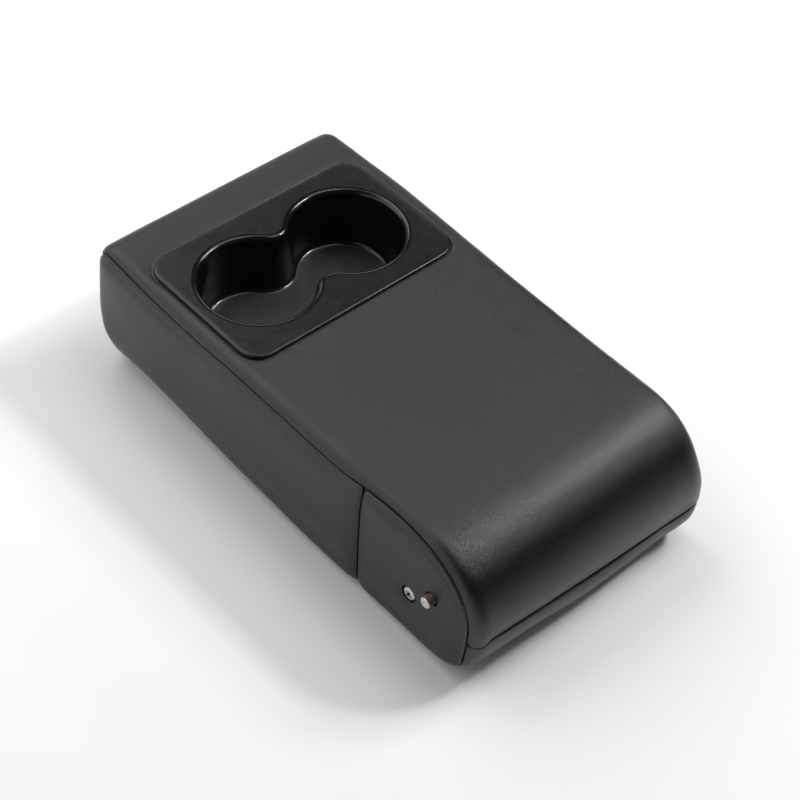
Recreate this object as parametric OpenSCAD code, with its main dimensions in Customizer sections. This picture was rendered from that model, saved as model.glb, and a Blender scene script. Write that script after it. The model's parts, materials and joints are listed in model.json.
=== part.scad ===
// Fold-down rear-seat armrest with a twin cup holder.
// Millimetres. +X is to the right, +Y is towards the cup-holder end, +Z is up.
// The rounded end at -Y carries the pivot shaft. The origin is the middle of the underside.

/* [Padded body] */
// Width over the leather side panels
body_w = 206; // [202:1:210]
// Length from the rounded pivot end to the cup-holder end
body_l = 384; // [380:1:388]
// Height of the leather top above the underside
body_h = 102; // [101:0.5:104]
// Radius of the rounding at the pivot end, in side view
rear_r = 52; // [48:1:54]
// Thickness of the leather with its backing
leather_t = 2; // [1.5:0.1:2]
// How far the side seam sits inside the side view's outline
seam_in = 7; // [6:0.5:8]
// Height of the seam across the pivot end
rear_seam_z = 40; // [36:1:44]
// Where the vertical seam crosses the side panels
side_seam_y = -82; // [-84:0.5:-80]

/* [Cup holder] */
// Size of the bezel across the armrest
bezel_w = 183.6; // [181:0.2:184]
// Size of the bezel along the armrest
bezel_l = 116.5; // [114:0.5:118]
// Radius of the bezel's corners
bezel_corner_r = 16; // [14:1:18]
// How far the bezel stands above the leather
bezel_proud = 1; // [0.6:0.1:1.5]
// Radius of a cup's mouth, outside its rounded rim
cup_rim_r = 44; // [43:0.5:44.5]
// Distance between the two cup centres
cup_spacing = 80; // [79:0.5:81]
// Half the width of the neck between the cups, at the rim
cup_neck = 27; // [25:0.5:29]
// Depth of the cups below the bezel
cup_depth = 45.7; // [43:0.1:46]
// How much a cup's wall draws in towards its floor
cup_draft = 4; // [3:0.5:4.5]

/* [Pivot] */
// Diameter of the pivot shaft
pin_d = 8; // [7.8:0.1:8]
// How far the shaft stands out of each side
pin_out = 7; // [6:0.5:8]
// Distance of the pivot from the rounded end
pivot_in = 41; // [40:0.5:42]
// Height of the pivot above the underside
pivot_z = 57; // [56:0.5:58]

/* [Steel frame] */
// Outside diameter of the bent tube
tube_d = 14; // [13:0.5:14]
// Height of the bent tube's centre line
tube_z = 41; // [40:0.5:41]
// Radius of the tube's bends, at its centre line
tube_bend = 30; // [26:1:34]

/* [Shown] */
// The piece to draw

/* [Hidden] */
$fn = 64;
hw = body_w / 2;                    // half the width
yr = -body_l / 2;                   // pivot end
yf = body_l / 2;                    // cup-holder end
front_top_r = 14;                   // side view's corner radii
front_low_r = 22;
rear_low_r = 20;
edge_r = 8;                         // rounding of the long top edges
low_edge_r = 12;                    // rounding of the long bottom edges
foam_gap = 0.3;                     // room between the foam and what is in it
foam_in = leather_t + foam_gap;
py = yr + pivot_in;                 // pivot axis
pz = pivot_z;
pr = pin_d / 2;
pin_x = hw + pin_out;               // shaft end
bush_r = 6.98;
plate_x0 = hw - 8;                  // side plate, from the middle outwards
plate_x1 = hw - 5;
plate_in = 12;                      // how far the plate sits inside the outline
pad_x = hw - 4.7;                   // inner face of the rear panels' backing
screw_y = yr + 60.7;
screw_z = 41;
rivet_y = yr + 88;
rivet_z = 62;
tr = tube_d / 2;
tube_x = plate_x0 - 3 - tr;         // centre line of the loop's sides
tube_y0 = yr + 72;                  // rear ends of the loop
tube_y1 = yf - 20;                  // centre line of the loop's front
strap_z0 = tube_z + tr + 0.05;
strap_z1 = strap_z0 + 2.5;
bezel_y = 95;                       // bezel centre
cup_y = 95.8;                       // cup centres
bz1 = body_h + bezel_proud;         // bezel top
bz0 = bz1 - 3.1;                    // bezel underside
post_x = 68;
front_y = bezel_y + 57.5;           // straps, posts and screws
back_y = bezel_y - 57.5;
carrier_z1 = bz0;
carrier_z0 = carrier_z1 - 3;
floor_z = bz1 - cup_depth;
throat_r = cup_rim_r - 4;
hook_y = yf - 30;                   // the closing strips under the body

leather = [0.17, 0.17, 0.175];
leather_dark = [0.14, 0.14, 0.145];
foam = [0.86, 0.82, 0.66];
black_plastic = [0.09, 0.09, 0.095];
grey_plastic = [0.32, 0.33, 0.34];
steel = [0.55, 0.56, 0.58];
zinc = [0.7, 0.7, 0.68];
rust = [0.5, 0.42, 0.37];
nylon = [0.9, 0.9, 0.86];

// ---------- helpers ----------

// a side-view shape drawn in Y and Z, spread from a to b outwards on side s
module spread(s, a, b) {
    translate([s > 0 ? a : -b, 0, 0])
        rotate([90, 0, 90])
            linear_extrude(height = b - a) children();
}

// a round bar across the armrest, from a to b outwards on side s
module bar(s, r, a, b, y, z) {
    translate([s > 0 ? a : -b, y, z]) rotate([0, 90, 0]) cylinder(r = r, h = b - a);
}

// a box given by its low and high corners
module box(lo, hi) {
    translate(lo) cube([hi[0] - lo[0], hi[1] - lo[1], hi[2] - lo[2]]);
}

// a rectangle in plan about the bezel's centre, with rounded corners
module plan_rect(w, l, r) {
    translate([-w / 2 + r, bezel_y - l / 2]) square([w - 2 * r, l]);
    translate([-w / 2, bezel_y - l / 2 + r]) square([w, l - 2 * r]);
    for (x = [-1, 1], y = [-1, 1])
        translate([x * (w / 2 - r), bezel_y + y * (l / 2 - r)]) circle(r = r);
}

// the armrest's side view, drawn i inside its outer surface
module side_outline(i) {
    translate([yr + rear_r, body_h - rear_r]) circle(r = rear_r - i);
    translate([yr + rear_low_r, rear_low_r]) circle(r = rear_low_r - i);
    translate([yf - front_low_r, front_low_r]) circle(r = front_low_r - i);
    translate([yf - front_top_r, body_h - front_top_r]) circle(r = front_top_r - i);
    translate([yr + rear_low_r, i])
        square([body_l - rear_low_r - front_low_r, rear_low_r - i + 2]);
    translate([yr + i, rear_low_r])
        square([rear_r - i, body_h - rear_r - rear_low_r]);
    translate([yr + rear_r, rear_low_r])
        square([body_l - rear_r - front_top_r, body_h - rear_low_r - i]);
    translate([yf - front_low_r, front_low_r])
        square([front_low_r - i, body_h - front_top_r - front_low_r]);
}

// the side panels' outline, open at the bottom, g inside the seam line
module seam_outline(g) {
    i = seam_in + g;
    translate([yr + rear_r, body_h - rear_r]) circle(r = rear_r - i);
    translate([yf - front_top_r, body_h - front_top_r]) circle(r = front_top_r - i);
    translate([yr + i, -5]) square([rear_r - i, body_h - rear_r + 5]);
    translate([yr + rear_r, -5])
        square([body_l - rear_r - front_top_r, body_h + 5 - i]);
    translate([yf - front_top_r, -5])
        square([front_top_r - i, body_h - front_top_r + 5]);
}

// the armrest's front view, drawn i inside its outer surface
module front_outline(i) {
    for (s = [-1, 1]) {
        translate([s * (hw - edge_r), body_h - edge_r]) circle(r = edge_r - i);
        translate([s * (hw - low_edge_r), low_edge_r]) circle(r = low_edge_r - i);
    }
    translate([-hw + low_edge_r, i])
        square([body_w - 2 * low_edge_r, body_h - 2 * i - 1]);
    translate([-hw + i, low_edge_r])
        square([body_w - 2 * i, body_h - low_edge_r - edge_r]);
    translate([-hw + edge_r, body_h / 2])
        square([body_w - 2 * edge_r, body_h / 2 - i]);
}

// the whole padded body, i inside its outer surface
module body_form(i) {
    intersection() {
        translate([0, yf + 5, 0]) rotate([90, 0, 0])
            linear_extrude(height = body_l + 10) front_outline(i);
        translate([-hw - 5, 0, 0]) rotate([90, 0, 90])
            linear_extrude(height = body_w + 10) side_outline(i);
    }
}

module leather_shell() {
    difference() {
        body_form(0);
        body_form(leather_t);
    }
}

// ---------- pivot ----------

module pivot_shaft() {
    color(rust)
    difference() {
        union() {
            bar(1, pr, -pin_x + 0.5, pin_x - 0.5, py, pz);
            for (s = [-1, 1])
                translate([s * (pin_x - 0.5), py, pz]) rotate([0, s * 90, 0])
                    cylinder(r1 = pr, r2 = pr - 0.5, h = 0.5);
        }
        for (s = [-1, 1])
            difference() {
                bar(s, pr + 1, hw - 3.5, hw - 2.3, py, pz);
                bar(s, pr - 0.8, hw - 4, hw - 2, py, pz);
            }
    }
}

module retaining_ring(s) {
    color(zinc)
    difference() {
        bar(s, pr + 3, hw - 3.4, hw - 2.4, py, pz);
        bar(s, pr - 0.75, hw - 4, hw - 2, py, pz);
        translate([s * (hw - 3), py, pz - 6]) cube([3, 2 * pr - 2.2, 12], center = true);
        for (a = [-58, 58])
            translate([s * (hw - 3), py, pz]) rotate([a, 0, 0])
                translate([0, 0, pr + 0.1]) cube([3, 2.2, 2.2], center = true);
    }
}

module pivot_tube() {
    color(steel)
    difference() {
        bar(1, 9, -plate_x1, plate_x1, py, pz);
        bar(1, 7, -plate_x1 - 1, plate_x1 + 1, py, pz);
    }
}

module bush(s) {
    color(nylon)
    difference() {
        union() {
            bar(s, bush_r, plate_x1 - 18, plate_x1, py, pz);
            bar(s, 10, plate_x1, plate_x1 + 1.3, py, pz);
        }
        bar(s, pr + 0.05, plate_x1 - 19, plate_x1 + 2, py, pz);
    }
}

// ---------- steel frame ----------

module side_plate(s) {
    color(steel)
    difference() {
        spread(s, plate_x0, plate_x1)
            intersection() {
                side_outline(plate_in);
                translate([yr, 0]) square([106, body_h]);
            }
        bar(s, 9.05, plate_x0 - 1, plate_x1 + 1, py, pz);
        bar(s, 2.75, plate_x0 - 1, plate_x1 + 1, screw_y, screw_z);
        bar(s, 3.05, plate_x0 - 1, plate_x1 + 1, rivet_y, rivet_z);
    }
}

module lug_plate(s) {
    color(steel)
    difference() {
        union() {
            spread(s, plate_x0 - 3, plate_x0) {
                translate([yr + 51, 28]) square([53, 36]);
                translate([yr + 73, 28]) square([31, 44]);
            }
            // weld beads along the tube
            spread(s, plate_x0 - 6.5, plate_x0 - 2.9)
                translate([yr + 73, tube_z - 6]) square([27, 12]);
        }
        bar(s, 2.75, plate_x0 - 9, plate_x0 + 1, screw_y, screw_z);
        bar(s, 3.05, plate_x0 - 9, plate_x0 + 1, rivet_y, rivet_z);
        translate([s * tube_x, yr + 60, tube_z]) rotate([-90, 0, 0])
            cylinder(r = tr + 0.05, h = 60);
    }
}

// pan-head machine screw with a cross recess
module side_screw(s) {
    color(zinc)
    difference() {
        union() {
            bar(s, 2.5, plate_x0 - 11, plate_x1, screw_y, screw_z);
            bar(s, 4.6, plate_x1, plate_x1 + 2, screw_y, screw_z);
            translate([s * (plate_x1 + 2), screw_y, screw_z]) rotate([0, s * 90, 0])
                cylinder(r1 = 4.6, r2 = 2.9, h = 1.4);
        }
        for (a = [0, 90])
            translate([s * (plate_x1 + 2.9), screw_y, screw_z]) rotate([a, 0, 0])
                cube([2.4, 1.1, 4.4], center = true);
    }
}

module nut(s) {
    color(zinc)
    difference() {
        translate([s * (plate_x0 - 5), screw_y, screw_z]) rotate([0, 90, 0])
            cylinder(r = 4.6, h = 4, center = true, $fn = 6);
        bar(s, 2.55, plate_x0 - 8, plate_x0 - 2, screw_y, screw_z);
    }
}

module rivet(s) {
    color(zinc) {
        bar(s, 3, plate_x0 - 3, plate_x1, rivet_y, rivet_z);
        bar(s, 5, plate_x0 - 4.6, plate_x0 - 3, rivet_y, rivet_z);
    }
}

module loop_path(r, e) {
    for (s = [-1, 1]) {
        translate([s * tube_x, tube_y0 - e, tube_z]) rotate([-90, 0, 0])
            cylinder(r = r, h = tube_y1 - tube_bend - tube_y0 + e);
        translate([s * (tube_x - tube_bend), tube_y1 - tube_bend, tube_z])
            rotate([0, 0, s > 0 ? 0 : 90])
                rotate_extrude(angle = 90) translate([tube_bend, 0]) circle(r = r);
    }
    translate([-tube_x + tube_bend, tube_y1, tube_z]) rotate([0, 90, 0])
        cylinder(r = r, h = 2 * (tube_x - tube_bend));
}

module frame_loop() {
    color(steel)
    difference() {
        loop_path(tr, 0);
        loop_path(tr - 1.5, 1);
    }
}

module strap(y) {
    color(steel)
    difference() {
        box([-tube_x - tr, y - 10, strap_z0], [tube_x + tr, y + 10, strap_z1]);
        for (s = [-1, 1])
            translate([s * post_x, y, strap_z0 - 1]) cylinder(r = 2.3, h = 5);
        translate([0, y, strap_z0 - 1]) cylinder(r = 5, h = 5);
    }
}

// ---------- cup holder and what carries it ----------

module carrier_frame() {
    color(grey_plastic)
    difference() {
        union() {
            translate([0, 0, carrier_z0]) linear_extrude(height = carrier_z1 - carrier_z0)
                difference() {
                    plan_rect(bezel_w + 8, 128, 22);
                    plan_rect(169, 102, 12);
                }
            for (y = [back_y, front_y]) {
                box([-post_x, y - 1.25, carrier_z0 - 12], [post_x, y + 1.25, carrier_z0 + 0.5]);
                for (s = [-1, 1])
                    translate([s * post_x, y, strap_z1])
                        cylinder(r = 7, h = carrier_z0 - strap_z1 + 0.5);
            }
        }
        for (y = [back_y, front_y], s = [-1, 1])
            translate([s * post_x, y, strap_z1 - 1]) cylinder(r = 2.12, h = 19);
    }
}

module carrier_screws() {
    color(zinc)
    for (y = [back_y, front_y], s = [-1, 1]) {
        translate([s * post_x, y, strap_z0]) cylinder(r = 2.1, h = 16);
        difference() {
            translate([s * post_x, y, strap_z0 - 2.4]) cylinder(r = 4.2, h = 2.4);
            for (a = [0, 90])
                translate([s * post_x, y, strap_z0 - 2.4]) rotate([0, 0, a])
                    cube([4.4, 1, 2.6], center = true);
        }
    }
}

// The cup opening in plan is two circles joined by a neck whose sides are arcs
// tangent to both. The arcs' centres stay put as the opening gets deeper and
// narrower, so each level has the same angles and the wall is a clean sweep.
half_sp = cup_spacing / 2;
neck_r = (pow(half_sp, 2) + pow(cup_neck, 2) - pow(cup_rim_r, 2)) / (2 * (cup_rim_r - cup_neck));
neck_y = cup_neck + neck_r;
reach = cup_rim_r + neck_r;
turn = atan2(neck_y, half_sp);
arc_n = 32;
neck_n = 7;
ring_n = 2 * (arc_n + neck_n);

function cup_ring(r, z) = concat(
    [for (k = [0 : arc_n]) let (a = -180 + turn + (360 - 2 * turn) * k / arc_n)
        [half_sp + r * cos(a), cup_y + r * sin(a), z]],
    [for (k = [1 : neck_n - 1]) let (a = -turn - (180 - 2 * turn) * k / neck_n)
        [(reach - r) * cos(a), cup_y + neck_y + (reach - r) * sin(a), z]],
    [for (k = [0 : arc_n]) let (a = turn + (360 - 2 * turn) * k / arc_n)
        [-half_sp + r * cos(a), cup_y + r * sin(a), z]],
    [for (k = [1 : neck_n - 1]) let (a = 180 - turn - (180 - 2 * turn) * k / neck_n)
        [(reach - r) * cos(a), cup_y - neck_y + (reach - r) * sin(a), z]]);

// where a ray at angle a from the bezel's centre leaves its outline, i inside
function bezel_reach(a, i) =
    let (w = bezel_w / 2 - i, l = bezel_l / 2 - i, r = bezel_corner_r - i,
         c = abs(cos(a)), s = abs(sin(a)), tx = c > 1e-6 ? w / c : 1e6, ty = s > 1e-6 ? l / s : 1e6,
         q = (w - r) * c + (l - r) * s)
    tx * s <= l - r ? tx : ty * c <= w - r ? ty
        : q + sqrt(q * q - pow(w - r, 2) - pow(l - r, 2) + r * r);

function bezel_ring(i, z) = [for (p = cup_ring(cup_rim_r, 0))
    let (a = atan2(p[1] - bezel_y, p[0]), t = bezel_reach(a, i))
        [t * cos(a), bezel_y + t * sin(a), z]];

module insert_form() {
    rings = concat(
        [cup_ring(throat_r - cup_draft - 2.4, floor_z - 2.5),
         cup_ring(throat_r - cup_draft + 2.3, floor_z + 2.5),
         cup_ring(throat_r + 2.5, bz0),
         bezel_ring(0, bz0), bezel_ring(0, bz1 - 1.5),
         bezel_ring(0.45, bz1 - 0.45), bezel_ring(1.5, bz1)],
        [for (t = [0 : 22.5 : 90]) cup_ring(cup_rim_r - 4 * sin(t), bz1 - 4 * (1 - cos(t)))],
        [for (t = [0 : 30 : 90])
            cup_ring(throat_r - cup_draft - 4 * (1 - cos(t)), floor_z + 4 - 4 * sin(t))]);
    n = len(rings);
    points = concat([for (r = rings) each r],
        [[0, cup_y, floor_z - 2.5], [0, cup_y, floor_z]]);
    walls = [for (k = [0 : n - 2], i = [0 : ring_n - 1]) let (j = (i + 1) % ring_n)
        each [[k * ring_n + i, (k + 1) * ring_n + i, (k + 1) * ring_n + j],
              [k * ring_n + i, (k + 1) * ring_n + j, k * ring_n + j]]];
    caps = [for (i = [0 : ring_n - 1]) let (j = (i + 1) % ring_n)
        each [[n * ring_n, i, j],
              [n * ring_n + 1, (n - 1) * ring_n + j, (n - 1) * ring_n + i]]];
    polyhedron(points = points, faces = concat(walls, caps), convexity = 6);
}

module cup_holder_insert() {
    color(black_plastic) {
        insert_form();
        // snap hooks that catch under the carrier
        for (x = [-52, 52], v = [-1, 1])
            translate([x - 8, bezel_y + v * 49.4, bz0 - 6.4]) {
                translate([0, v > 0 ? 0 : -1.4, 0]) cube([16, 1.4, 6.6]);
                translate([0, v > 0 ? 0 : -3, 0]) cube([16, 3, 3.2]);
            }
    }
}

// ---------- foam ----------

// everything set into the foam, with room round it
module foam_voids() {
    g = foam_gap;
    // cup wells and the room above them for the carrier
    for (s = [-1, 1])
        translate([s * half_sp, cup_y, floor_z - 3.5]) cylinder(r = throat_r + 3.3, h = 60);
    box([-13, cup_y - 31, floor_z - 3.5], [13, cup_y + 31, body_h + 5]);
    box([-86.5, bezel_y - 61, carrier_z0 - 13.2], [86.5, bezel_y + 61, body_h + 5]);
    box([-bezel_w / 2 - 4.5, bezel_y - 64.5, carrier_z0 - g],
        [bezel_w / 2 + 4.5, bezel_y + 64.5, body_h + 5]);
    for (y = [back_y, front_y], s = [-1, 1])
        translate([s * post_x, y, tube_z]) cylinder(r = 7 + g, h = body_h - tube_z);
    // straps with the screw heads under them
    for (y = [back_y, front_y])
        box([-tube_x - tr - g, y - 10.3, tube_z - 1], [tube_x + tr + g, y + 10.3, strap_z1 + g]);
    // bent tube
    for (s = [-1, 1])
        box([s * tube_x - tr - g, tube_y0 - 2, tube_z - tr - g],
            [s * tube_x + tr + g, tube_y1 + tr + g, strap_z0 + g]);
    box([-tube_x, tube_y1 - tr - g, tube_z - tr - g], [tube_x, tube_y1 + tr + g, strap_z0 + g]);
    for (s = [-1, 1])
        box([s * (tube_x - tube_bend / 2) - tube_bend / 2 - 3, tube_y1 - tube_bend - 2, tube_z - tr - g],
            [s * (tube_x - tube_bend / 2) + tube_bend / 2 + 3, tube_y1, strap_z0 + g]);
    // brackets, screws and pivot tube
    for (s = [-1, 1])
        box([s > 0 ? plate_x0 - 14 : -plate_x0 - 1, yr + 50.5, 27.5],
            [s > 0 ? plate_x0 + 1 : -plate_x0 + 14, yr + 104.5, 72.5]);
    bar(1, 9.4, -plate_x1, plate_x1, py, pz);
    for (s = [-1, 1])
        spread(s, plate_x0 - g, hw + 2)
            intersection() {
                side_outline(8.5);
                translate([yr, 0]) square([110.3, body_h]);
            }
    // closing strips
    box([-84.5, hook_y - 16.5, -1], [84.5, hook_y + 8.5, 10.6]);
}

module upper_foam_pad() {
    color(foam)
    difference() {
        intersection() {
            body_form(foam_in);
            box([-hw, yr, tube_z + 0.15], [hw, yf, body_h]);
        }
        foam_voids();
    }
}

module lower_foam_pad() {
    color(foam)
    difference() {
        intersection() {
            body_form(foam_in);
            box([-hw, yr, 0], [hw, yf, tube_z - 0.15]);
        }
        foam_voids();
    }
}

// ---------- leather ----------

module top_cover() {
    color(leather)
    difference() {
        leather_shell();
        for (s = [-1, 1]) spread(s, hw - low_edge_r, hw + 2) seam_outline(0);
        box([-hw - 1, yr - 1, -1], [hw + 1, hook_y + 0.5, rear_seam_z + 0.4]);
        translate([0, 0, body_h - 12]) linear_extrude(height = 20)
            plan_rect(bezel_w + 0.6, bezel_l + 0.6, bezel_corner_r + 0.3);
    }
}

module front_side_cover(s) {
    color(leather)
    intersection() {
        leather_shell();
        spread(s, hw - low_edge_r + 0.4, hw + 2)
            intersection() {
                seam_outline(0.4);
                translate([side_seam_y + 0.4, -2]) square([yf - side_seam_y, body_h + 4]);
            }
    }
}

module rear_side_cover(s) {
    color(leather_dark)
    difference() {
        union() {
            intersection() {
                leather_shell();
                spread(s, hw - low_edge_r + 0.4, hw + 2)
                    intersection() {
                        seam_outline(0.4);
                        translate([yr, -2]) square([side_seam_y - yr - 0.4, body_h + 4]);
                    }
            }
            // padded backing over the side plate
            spread(s, pad_x, hw - 1)
                intersection() {
                    side_outline(13);
                    translate([yr, 0]) square([side_seam_y - yr - 0.4, body_h]);
                }
        }
        // pin and screw come through the leather
        bar(s, pr + 1.5, hw - 3, hw + 1, py, pz);
        bar(s, 11, pad_x - 1, hw - leather_t, py, pz);
        bar(s, 6, pad_x - 1, hw + 1, screw_y, screw_z);
    }
}

module bottom_cover() {
    color(leather_dark)
    difference() {
        intersection() {
            leather_shell();
            box([-hw - 1, yr - 1, -1], [hw + 1, hook_y - 0.5, rear_seam_z - 0.4]);
        }
        for (s = [-1, 1]) spread(s, hw - low_edge_r, hw + 2) seam_outline(0);
    }
}

// ---------- closing strips: two hooked plastic profiles ----------

module front_hook_strip() {
    color(black_plastic)
    translate([0, hook_y, leather_t + 0.02]) spread(1, -84, 84) {
        translate([0.5, 0]) square([7.3, 1.5]);
        translate([0.5, 0]) square([1.5, 8]);
        translate([-11, 6.5]) square([13, 1.5]);
        translate([-11, 2]) square([1.5, 6]);
        translate([-11, 2]) square([7.5, 1.4]);
    }
}

module bottom_hook_strip() {
    color(black_plastic)
    translate([0, hook_y, leather_t + 0.02]) spread(1, -84, 84) {
        translate([-16, 0]) square([15.5, 1.5]);
        translate([-2, 0]) square([1.5, 5.7]);
        translate([-8, 4.2]) square([7.5, 1.5]);
    }
}

// ---------- draw ----------

pivot_shaft();
retaining_ring(-1);  // left_retaining_ring
retaining_ring(1);  // right_retaining_ring
pivot_tube();
bush(-1);  // left_bush
bush(1);  // right_bush
side_plate(-1);  // left_side_plate
side_plate(1);  // right_side_plate
lug_plate(-1);  // left_lug_plate
lug_plate(1);  // right_lug_plate
side_screw(-1);  // left_side_screw
side_screw(1);  // right_side_screw
nut(-1);  // left_nut
nut(1);  // right_nut
rivet(-1);  // left_rivet
rivet(1);  // right_rivet
frame_loop();
strap(front_y);  // front_strap
strap(back_y);  // rear_strap
carrier_frame();
carrier_screws();
cup_holder_insert();
upper_foam_pad();
lower_foam_pad();
top_cover();
front_side_cover(-1);  // left_front_side_cover
rear_side_cover(-1);  // left_rear_side_cover
front_side_cover(1);  // right_front_side_cover
rear_side_cover(1);  // right_rear_side_cover
bottom_cover();
front_hook_strip();
bottom_hook_strip();
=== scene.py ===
import json
import math

import bmesh
import bpy
import numpy as np
from mathutils import Matrix, Vector, geometry


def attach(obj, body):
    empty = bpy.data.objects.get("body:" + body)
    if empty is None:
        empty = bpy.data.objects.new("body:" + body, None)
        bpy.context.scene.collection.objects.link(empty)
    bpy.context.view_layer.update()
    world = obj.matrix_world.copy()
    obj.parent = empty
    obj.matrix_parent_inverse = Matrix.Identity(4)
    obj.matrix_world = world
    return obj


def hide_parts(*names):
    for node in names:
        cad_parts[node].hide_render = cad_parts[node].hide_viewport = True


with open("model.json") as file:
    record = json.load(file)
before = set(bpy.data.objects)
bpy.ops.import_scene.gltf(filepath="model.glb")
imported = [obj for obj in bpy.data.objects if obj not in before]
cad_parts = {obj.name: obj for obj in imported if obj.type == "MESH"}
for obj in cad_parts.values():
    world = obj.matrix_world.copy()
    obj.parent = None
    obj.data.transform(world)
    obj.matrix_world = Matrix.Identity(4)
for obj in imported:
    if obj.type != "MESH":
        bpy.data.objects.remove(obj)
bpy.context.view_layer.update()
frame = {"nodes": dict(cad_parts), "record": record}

NODES = frame["nodes"]
MM = 0.001
scene_collection = bpy.context.scene.collection

# ============================================================ small maths


def smoothstep(x, a, b):
    t = np.clip((np.asarray(x, float) - a) / (b - a), 0.0, 1.0)
    return t * t * (3 - 2 * t)


def unit(v):
    return v / np.maximum(np.linalg.norm(v, axis=-1, keepdims=True), 1e-12)


def lattice(i, j, k, seed):
    """A repeatable number from -1 to 1 at each whole point."""
    h = (i * 374761393 + j * 668265263 + k * 2147483647 + seed * 974634777) & 0xFFFFFFFF
    h = ((h ^ (h >> 13)) * 1274126177) & 0xFFFFFFFF
    h = (h ^ (h >> 16)) & 0xFFFF
    return h / 32767.5 - 1.0


def soft_noise(p, scale, seed=0):
    """Smooth value noise of points in mm; scale is the size of one wave."""
    q = np.asarray(p, float) / scale
    b = np.floor(q).astype(np.int64)
    f = q - b
    f = f * f * f * (f * (f * 6 - 15) + 10)
    out = 0.0
    for dx in (0, 1):
        for dy in (0, 1):
            for dz in (0, 1):
                w = ((f[:, 0] if dx else 1 - f[:, 0]) * (f[:, 1] if dy else 1 - f[:, 1])
                     * (f[:, 2] if dz else 1 - f[:, 2]))
                out = out + w * lattice(b[:, 0] + dx, b[:, 1] + dy, b[:, 2] + dz, seed)
    return out


# ============================================================ the body's side view, in Y and Z (mm)
# A closed line, drawn from under the front end forwards, up the front face,
# back along the top, round the pivot end and forwards along the underside.

HOOK_Y = 162.0
FRONT_Y, REAR_Y, TOP_Z = 191.8, -191.5, 102.0
FT_R, FL_R = 13.0, 25.0
RR, RL_R = 51.5, 20.0
STEP = 0.25


def arc(cy, cz, r, a0, a1):
    n = max(2, int(abs(math.radians(a1 - a0)) * r / STEP))
    a = np.radians(np.linspace(a0, a1, n))
    return np.c_[cy + r * np.cos(a), cz + r * np.sin(a)]


def line(p, q):
    n = max(2, int(math.dist(p, q) / STEP))
    return np.array(p) + (np.array(q) - np.array(p)) * np.linspace(0, 1, n)[:, None]


def build_profile():
    parts = [
        line((HOOK_Y, 0), (FRONT_Y - FL_R, 0)) if FRONT_Y - FL_R > HOOK_Y else None,
        arc(FRONT_Y - FL_R, FL_R, FL_R, -90, 0),
        line((FRONT_Y, FL_R), (FRONT_Y, TOP_Z - FT_R)),
        arc(FRONT_Y - FT_R, TOP_Z - FT_R, FT_R, 0, 90),
        line((FRONT_Y - FT_R, TOP_Z), (REAR_Y + RR, TOP_Z)),
        arc(REAR_Y + RR, TOP_Z - RR, RR, 90, 180),
        line((REAR_Y, TOP_Z - RR), (REAR_Y, RL_R)),
        arc(REAR_Y + RL_R, RL_R, RL_R, 180, 270),
        line((REAR_Y + RL_R, 0), (min(HOOK_Y, FRONT_Y - FL_R), 0)),
    ]
    p = np.concatenate([x[:-1] for x in parts if x is not None])
    seg = np.linalg.norm(np.roll(p, -1, 0) - p, axis=1)
    s = np.r_[0, np.cumsum(seg)]
    total = s[-1]
    n = int(total / STEP)
    grid = np.arange(n) * total / n
    closed = np.r_[p, p[:1]]
    q = np.c_[np.interp(grid, s, closed[:, 0]), np.interp(grid, s, closed[:, 1])]
    # ease the changes of curvature a little, as padding does
    k = np.exp(-0.5 * (np.arange(-24, 25) * STEP / 2.2) ** 2)
    k /= k.sum()
    for c in (0, 1):
        q[:, c] = np.convolve(np.r_[q[-24:, c], q[:, c], q[:24, c]], k, "valid")
    t = unit(np.roll(q, -1, 0) - np.roll(q, 1, 0))
    return q, t, np.c_[t[:, 1], -t[:, 0]], grid, total


PQ, PT, PN, PS, TOTAL = build_profile()


def at_profile(values, s):
    """Looks up a per-point value of the profile at arc lengths s, round the closed line."""
    u = (np.asarray(s, float) % TOTAL) / TOTAL * len(PS)
    i = np.floor(u).astype(int) % len(PS)
    f = (u - np.floor(u))
    j = (i + 1) % len(PS)
    if values.ndim == 2:
        f = f[..., None]
    return values[i] * (1 - f) + values[j] * f


def s_near(y, z):
    return float(PS[np.argmin(np.hypot(PQ[:, 0] - y, PQ[:, 1] - z))])


def project(p):
    """Nearest profile arc length and depth inside it (negative outside) of points in Y and Z."""
    s = np.zeros(len(p))
    d = np.zeros(len(p))
    coarse = PQ[::8]
    for a in range(0, len(p), 4000):
        q = p[a:a + 4000]
        i = np.argmin(((q[:, None] - coarse[None]) ** 2).sum(2), axis=1) * 8
        span = (i[:, None] + np.arange(-8, 9)) % len(PQ)
        near = PQ[span]
        k = np.argmin(((q[:, None] - near) ** 2).sum(2), axis=1)
        i = span[np.arange(len(q)), k]
        off = ((q - PQ[i]) * PT[i]).sum(1)
        s[a:a + 4000] = (PS[i] + off) % TOTAL
        d[a:a + 4000] = -((q - PQ[i]) * PN[i]).sum(1)
    return s, d


def eased(knots, blur):
    """A value along the profile from (arc length, value) knots, made smooth."""
    knots = sorted(knots)
    ks = np.array([k[0] for k in knots])
    kv = np.array([k[1] for k in knots])
    v = np.interp(PS, np.r_[ks - TOTAL, ks, ks + TOTAL], np.r_[kv, kv, kv])
    n = int(blur / STEP * 3)
    k = np.exp(-0.5 * (np.arange(-n, n + 1) * STEP / blur) ** 2)
    return np.convolve(np.r_[v[-n:], v, v[:n]], k / k.sum(), "valid")


S_TOP_F = s_near(FRONT_Y - FT_R, TOP_Z)
S_REAR_SEAM = s_near(REAR_Y, 40.0)


def s_top(y):
    return S_TOP_F + (FRONT_Y - FT_R - y)


def s_under(y):
    return s_near(y, 0.0)


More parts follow.
